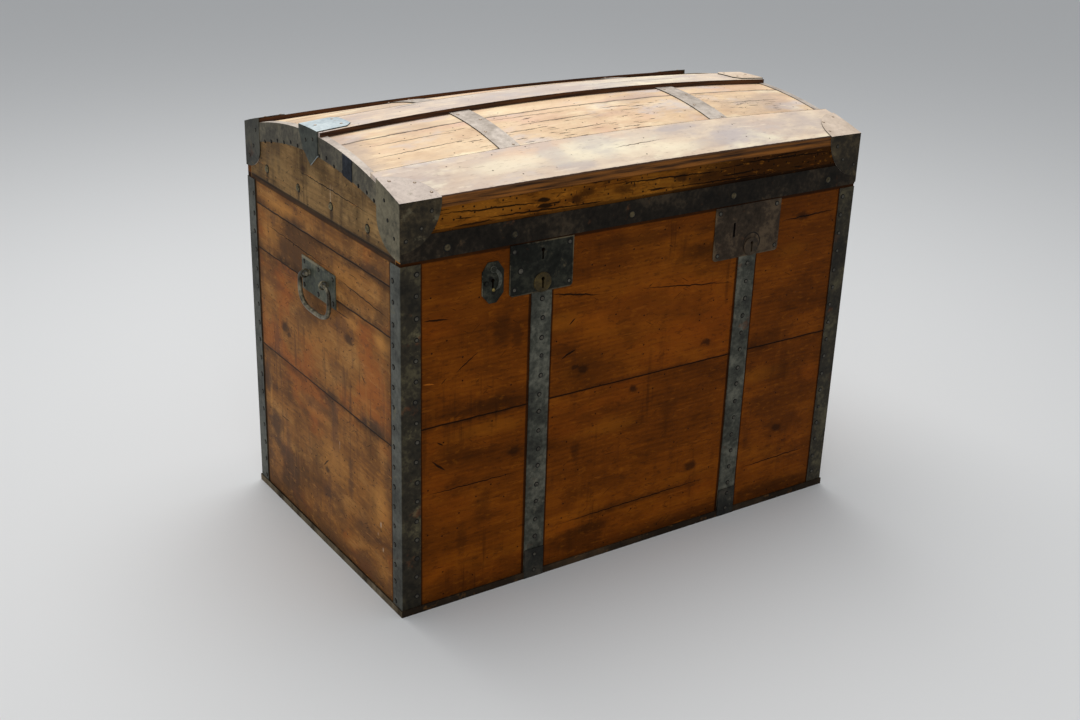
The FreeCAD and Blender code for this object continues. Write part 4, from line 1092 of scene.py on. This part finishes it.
def makeHeads(name, spots, head, body, material):
    # each head is a profile (share of the radius, height) turned about the line that leaves
    # the sheet; sizes and places stray a little
    spread = np.random.default_rng(head["seed"])
    places = np.array([spot[0] for spot in spots])
    outs = np.array([spot[1] for spot in spots])
    upright = np.abs(outs[:, 2:3]) >= 0.9
    side = np.cross(np.where(upright, [[1.0, 0.0, 0.0]], [[0.0, 0.0, 1.0]]), outs)
    side /= np.linalg.norm(side, axis=1, keepdims=True)
    up = np.cross(outs, side)
    heads = len(spots)
    size = head["radius"] * (1 + spread.uniform(-head["vary"], head["vary"], heads))
    places = places + side * spread.normal(0, head["shift"], (heads, 1))
    places = places + up * spread.normal(0, head["shift"], (heads, 1))
    profile = np.array(head["profile"])
    about = turns(head["sides"])[None, :, None]
    outward = np.cos(about) * side[:, None, :] + np.sin(about) * up[:, None, :]
    reach = size[:, None] * profile[None, :, 0]
    rings = places[:, None, None, :] + reach[:, :, None, None] * outward[:, None, :, :]
    rings = rings + profile[None, :, None, 1:2] * outs[:, None, None, :]
    steps, sides = rings.shape[1:3]
    vertices = np.concatenate([rings.reshape(-1, 3), places + outs * head["crown"],
                               places + outs * profile[-1, 1]])

    # quads between the rings, a fan over the top and one under the foot
    first = np.arange(heads)[:, None, None] * steps * sides
    step = first + np.arange(steps - 1)[None, :, None] * sides
    turn = np.arange(sides)[None, None, :]
    after = (turn + 1) % sides
    quads = np.stack([step + turn, step + sides + turn, step + sides + after, step + after], -1)
    top = heads * steps * sides + np.arange(heads)[:, None]
    first, turn, after = first[:, 0], turn[0], after[0]
    last = first + (steps - 1) * sides
    fans = np.stack([top + 0 * turn, first + turn, first + after], -1)
    soles = np.stack([top + heads + 0 * turn, last + after, last + turn], -1)
    faces = quads.reshape(-1, 4).tolist()
    faces += fans.reshape(-1, 3).tolist() + soles.reshape(-1, 3).tolist()
    made = addPiece(name, vertices, faces, material, body)
    rim = profile[:, 0] / profile[:, 0].max()
    rim = np.broadcast_to(rim[None, :, None], (heads, steps, sides)).ravel()
    rim = np.concatenate([rim, np.zeros(heads), np.ones(heads)]).astype(np.float32)
    made.data.attributes.new("rim", "FLOAT", "POINT").data.foreach_set("value", rim)


# a flat nail with a ring of dirt, a domed one, and two heads that are flatter domes
flatHead = {
    "radius": 0.0032, "vary": 0.10, "shift": 0.0008, "sides": 10, "crown": 0.0010, "seed": 4,
    "profile": ((0.55, 0.0009), (0.95, 0.0005), (1.05, 0.0002), (1.35, 0.0001), (1.4, -0.0002)),
}
domedHead = {
    "radius": 0.0060, "vary": 0.06, "shift": 0.0006, "sides": 12, "crown": 0.0036, "seed": 9,
    "profile": ((0.35, 0.0033), (0.66, 0.0025), (0.88, 0.0013), (1.0, 0.0001),
                (1.25, 0.0001), (1.27, -0.0003)),
}
rivetEnd = {
    **domedHead, "radius": 0.0052, "crown": 0.0012,
    "profile": ((0.45, 0.0011), (0.8, 0.0007), (1.0, 0.0001), (1.2, -0.0002)),
}
stud = {
    **domedHead, "radius": 0.0030, "crown": 0.0022,
    "profile": ((0.5, 0.0019), (0.9, 0.0011), (1.0, 0.0001), (1.2, -0.0002)),
}
nailLooks = {
    "dark": {"tones": ((40, 38, 34), (88, 84, 74)), "dirt": (15, 14, 12), "dirtFrom": 0.54,
             "roughness": 0.46, "metallic": 0.4},
    "black": {"tones": ((18, 17, 16), (44, 42, 38)), "dirt": (12, 11, 10), "dirtFrom": 0.55,
              "roughness": 0.45, "metallic": 0.4},
    "dome": {"tones": ((58, 52, 38), (140, 130, 98)), "dirt": (16, 13, 10), "dirtFrom": 0.66,
             "roughness": 0.34, "metallic": 0.6},
    "band": {"tones": ((38, 33, 22), (88, 78, 54)), "dirt": (14, 12, 9), "dirtFrom": 0.62,
             "roughness": 0.36, "metallic": 0.4},
    "brass": {"tones": ((90, 76, 36), (160, 142, 84)), "dirt": (22, 18, 10), "dirtFrom": 0.72,
              "roughness": 0.32, "metallic": 0.6},
    # the pale nails on the lid's top take its light tones: painted light, as on the tops of the
    # caps and clamps
    "pale": {"tones": ((166, 150, 134), (204, 188, 170)), "dirt": (128, 106, 86),
             "dirtFrom": 0.56, "roughness": 0.45, "metallic": 0.4},
}
nail = {key: headFinish(f"nail_{key}", look) for key, look in nailLooks.items()}
ends = (("left", -1), ("right", 1))
sides = (("front", -1), ("back", 1))
strapMiddles = {"left": -0.209, "right": 0.218}

# nails of the straps on the box; the strips' stand a little to the right of the middle
strapNails = {"tops": {"left": 0.507, "right": 0.496}, "aside": 0.002, "spacing": 0.033,
              "foot": 0.062, "laps": (0.044, 0.014), "backTop": 0.560, "backSpacing": 0.055}
spots = []
for end, x in strapMiddles.items():
    levels = np.arange(strapNails["tops"][end], strapNails["foot"], -strapNails["spacing"])
    marks = [(x + strapNails["aside"], z) for z in levels]
    spots += castOnto(f"{end}_front_strip", "front", marks)
for end, x in strapMiddles.items():
    spots += castOnto(f"{end}_bottom_strap", "front", [(x, z) for z in strapNails["laps"]])
makeHeads("front_strip_nails", spots, flatHead, "box", nail["dark"])

# nails of the corner angles: the end's stand lower than the face's
angleNails = {"face": 0.4345, "end": 0.2555, "top": 0.585, "foot": 0.02, "spacing": 0.0345,
              "lower": 0.012}
levels = np.arange(angleNails["top"], angleNails["foot"], -angleNails["spacing"])
spots = []
for end, x in ends:
    for face, y in sides:
        name = f"{face}_{end}_corner_angle"
        spots += castOnto(name, face, [(x * angleNails["face"], z) for z in levels])
        marks = [(y * angleNails["end"], z - angleNails["lower"]) for z in levels]
        spots += castOnto(name, end, marks)
makeHeads("corner_angle_nails", spots, flatHead, "box", nail["dark"])

levels = np.arange(strapNails["backTop"], strapNails["foot"], -strapNails["backSpacing"])
spots = []
for end, x in strapMiddles.items():
    spots += castOnto(f"{end}_back_strap", "back", [(x, z) for z in levels])
for end, x in strapMiddles.items():
    spots += castOnto(f"{end}_bottom_strap", "back", [(x, strapNails["laps"][0])])
makeHeads("back_strap_nails", spots, flatHead, "box", nail["dark"])

plateNails = [(y, z) for y in (-0.053, 0.0, 0.053) for z in (0.468, 0.512)]
spots = [spot for end, x in ends for spot in castOnto(f"{end}_handle_plate", end, plateNails)]
makeHeads("handle_plate_nails", spots, flatHead, "box", nail["dark"])

# nails of the lock plates, as (middle, half spacing, levels)
lockNails = {"left": (-0.2105, 0.051, (0.594, 0.529)), "right": (0.213, 0.064, (0.594, 0.519))}
spots = []
for end, (middle, half, levels) in lockNails.items():
    marks = [(middle + x * half, z) for x in (-1, 1) for z in levels]
    spots += castOnto(f"{end}_lock_plate", "front", marks)
makeHeads("lock_plate_nails", spots, flatHead, "box", nail["dark"])

# the rivet end on the left lock, and the brass stud that the keyhole cover rests against; it
# stands over the keyhole's foot, so its depth is found beside the hole
rivetPlace = (-0.2505, 0.5605)
studPlace = {"x": -0.2996, "z": 0.5385, "beside": -0.2930}
spots = castOnto("left_lock_plate", "front", [rivetPlace])
makeHeads("lock_rivet", spots, rivetEnd, "box", nail["dark"])
(beside, out), = castOnto("escutcheon_plate", "front", [(studPlace["beside"], studPlace["z"])])
spots = [((studPlace["x"], beside[1], studPlace["z"]), out)]
makeHeads("escutcheon_stud", spots, stud, "box", nail["brass"])

# nails of the lid; the arch bands' follow the deck's top, a parabola across the depth
lidNails = {"crown": 0.734, "fall": 0.046, "halfDepth": 0.2775, "leg": 0.0285,
            "end": [(y, 0.631) for y in (-0.1755, -0.0515, 0.0685, 0.1945)],
            "band": [(x, 0.6205) for x in (-0.3814, -0.2629, -0.0393, 0.175, 0.393)]}
marks = []
for y in np.arange(-0.202, 0.215, 0.0265):
    top = lidNails["crown"] - lidNails["fall"] * (y / lidNails["halfDepth"]) ** 2
    marks.append((y, top - lidNails["leg"]))
spots = [spot for end, x in ends for spot in castOnto(f"{end}_arch_band", end, marks)]
archHead = {**flatHead, "radius": 0.0024, "shift": 0.0016}
makeHeads("arch_band_nails", spots, archHead, "lid", nail["black"])

spots = [spot for end, x in ends for spot in castOnto(f"lid_{end}_end", end, lidNails["end"])]
makeHeads("lid_end_nails", spots, domedHead, "lid", nail["dome"])
spots = castOnto("lid_rim_band", "front", lidNails["band"])
makeHeads("rim_band_nails", spots, {**domedHead, "radius": 0.0056}, "lid", nail["band"])

# nails of the corner caps, the clamps and the lid's straps
capNails = {"top": ((0.447, 0.222), (0.412, 0.236), (0.402, 0.264)),
            "face": ((0.452, 0.640), (0.424, 0.654), (0.408, 0.680)),
            "end": ((0.262, 0.640), (0.244, 0.662), (0.232, 0.690))}
clampNails = {"top": ((0.412, 0.004), (0.412, 0.040), (0.448, 0.022)),
              "end": ((0.004, 0.728), (0.030, 0.722))}
lidStrapNails = {"aside": 0.010, "levels": (-0.172, -0.120, -0.072, -0.034,
                                            0.072, 0.120, 0.170, 0.206)}
topSpots = []
sideSpots = []
for end, x in ends:
    for face, y in sides:
        name = f"{face}_{end}_corner_cap"
        topSpots += castOnto(name, "top", [(x * u, y * v) for u, v in capNails["top"]])
        sideSpots += castOnto(name, face, [(x * u, v) for u, v in capNails["face"]])
        sideSpots += castOnto(name, end, [(y * u, v) for u, v in capNails["end"]])
    name = f"{end}_slat_clamp"
    topSpots += castOnto(name, "top", [(x * u, v) for u, v in clampNails["top"]])
    sideSpots += castOnto(name, end, clampNails["end"])
makeHeads("cap_side_nails", sideSpots, {**flatHead, "radius": 0.0024}, "lid", nail["dark"])
for end, x in strapMiddles.items():
    marks = [(x + lidStrapNails["aside"] * (-1) ** place, y)
             for place, y in enumerate(lidStrapNails["levels"])]
    topSpots += castOnto(f"{end}_lid_strap", "top", marks)
makeHeads("lid_top_nails", topSpots, {**flatHead, "radius": 0.0019}, "lid", nail["pale"])
print("nails are in")
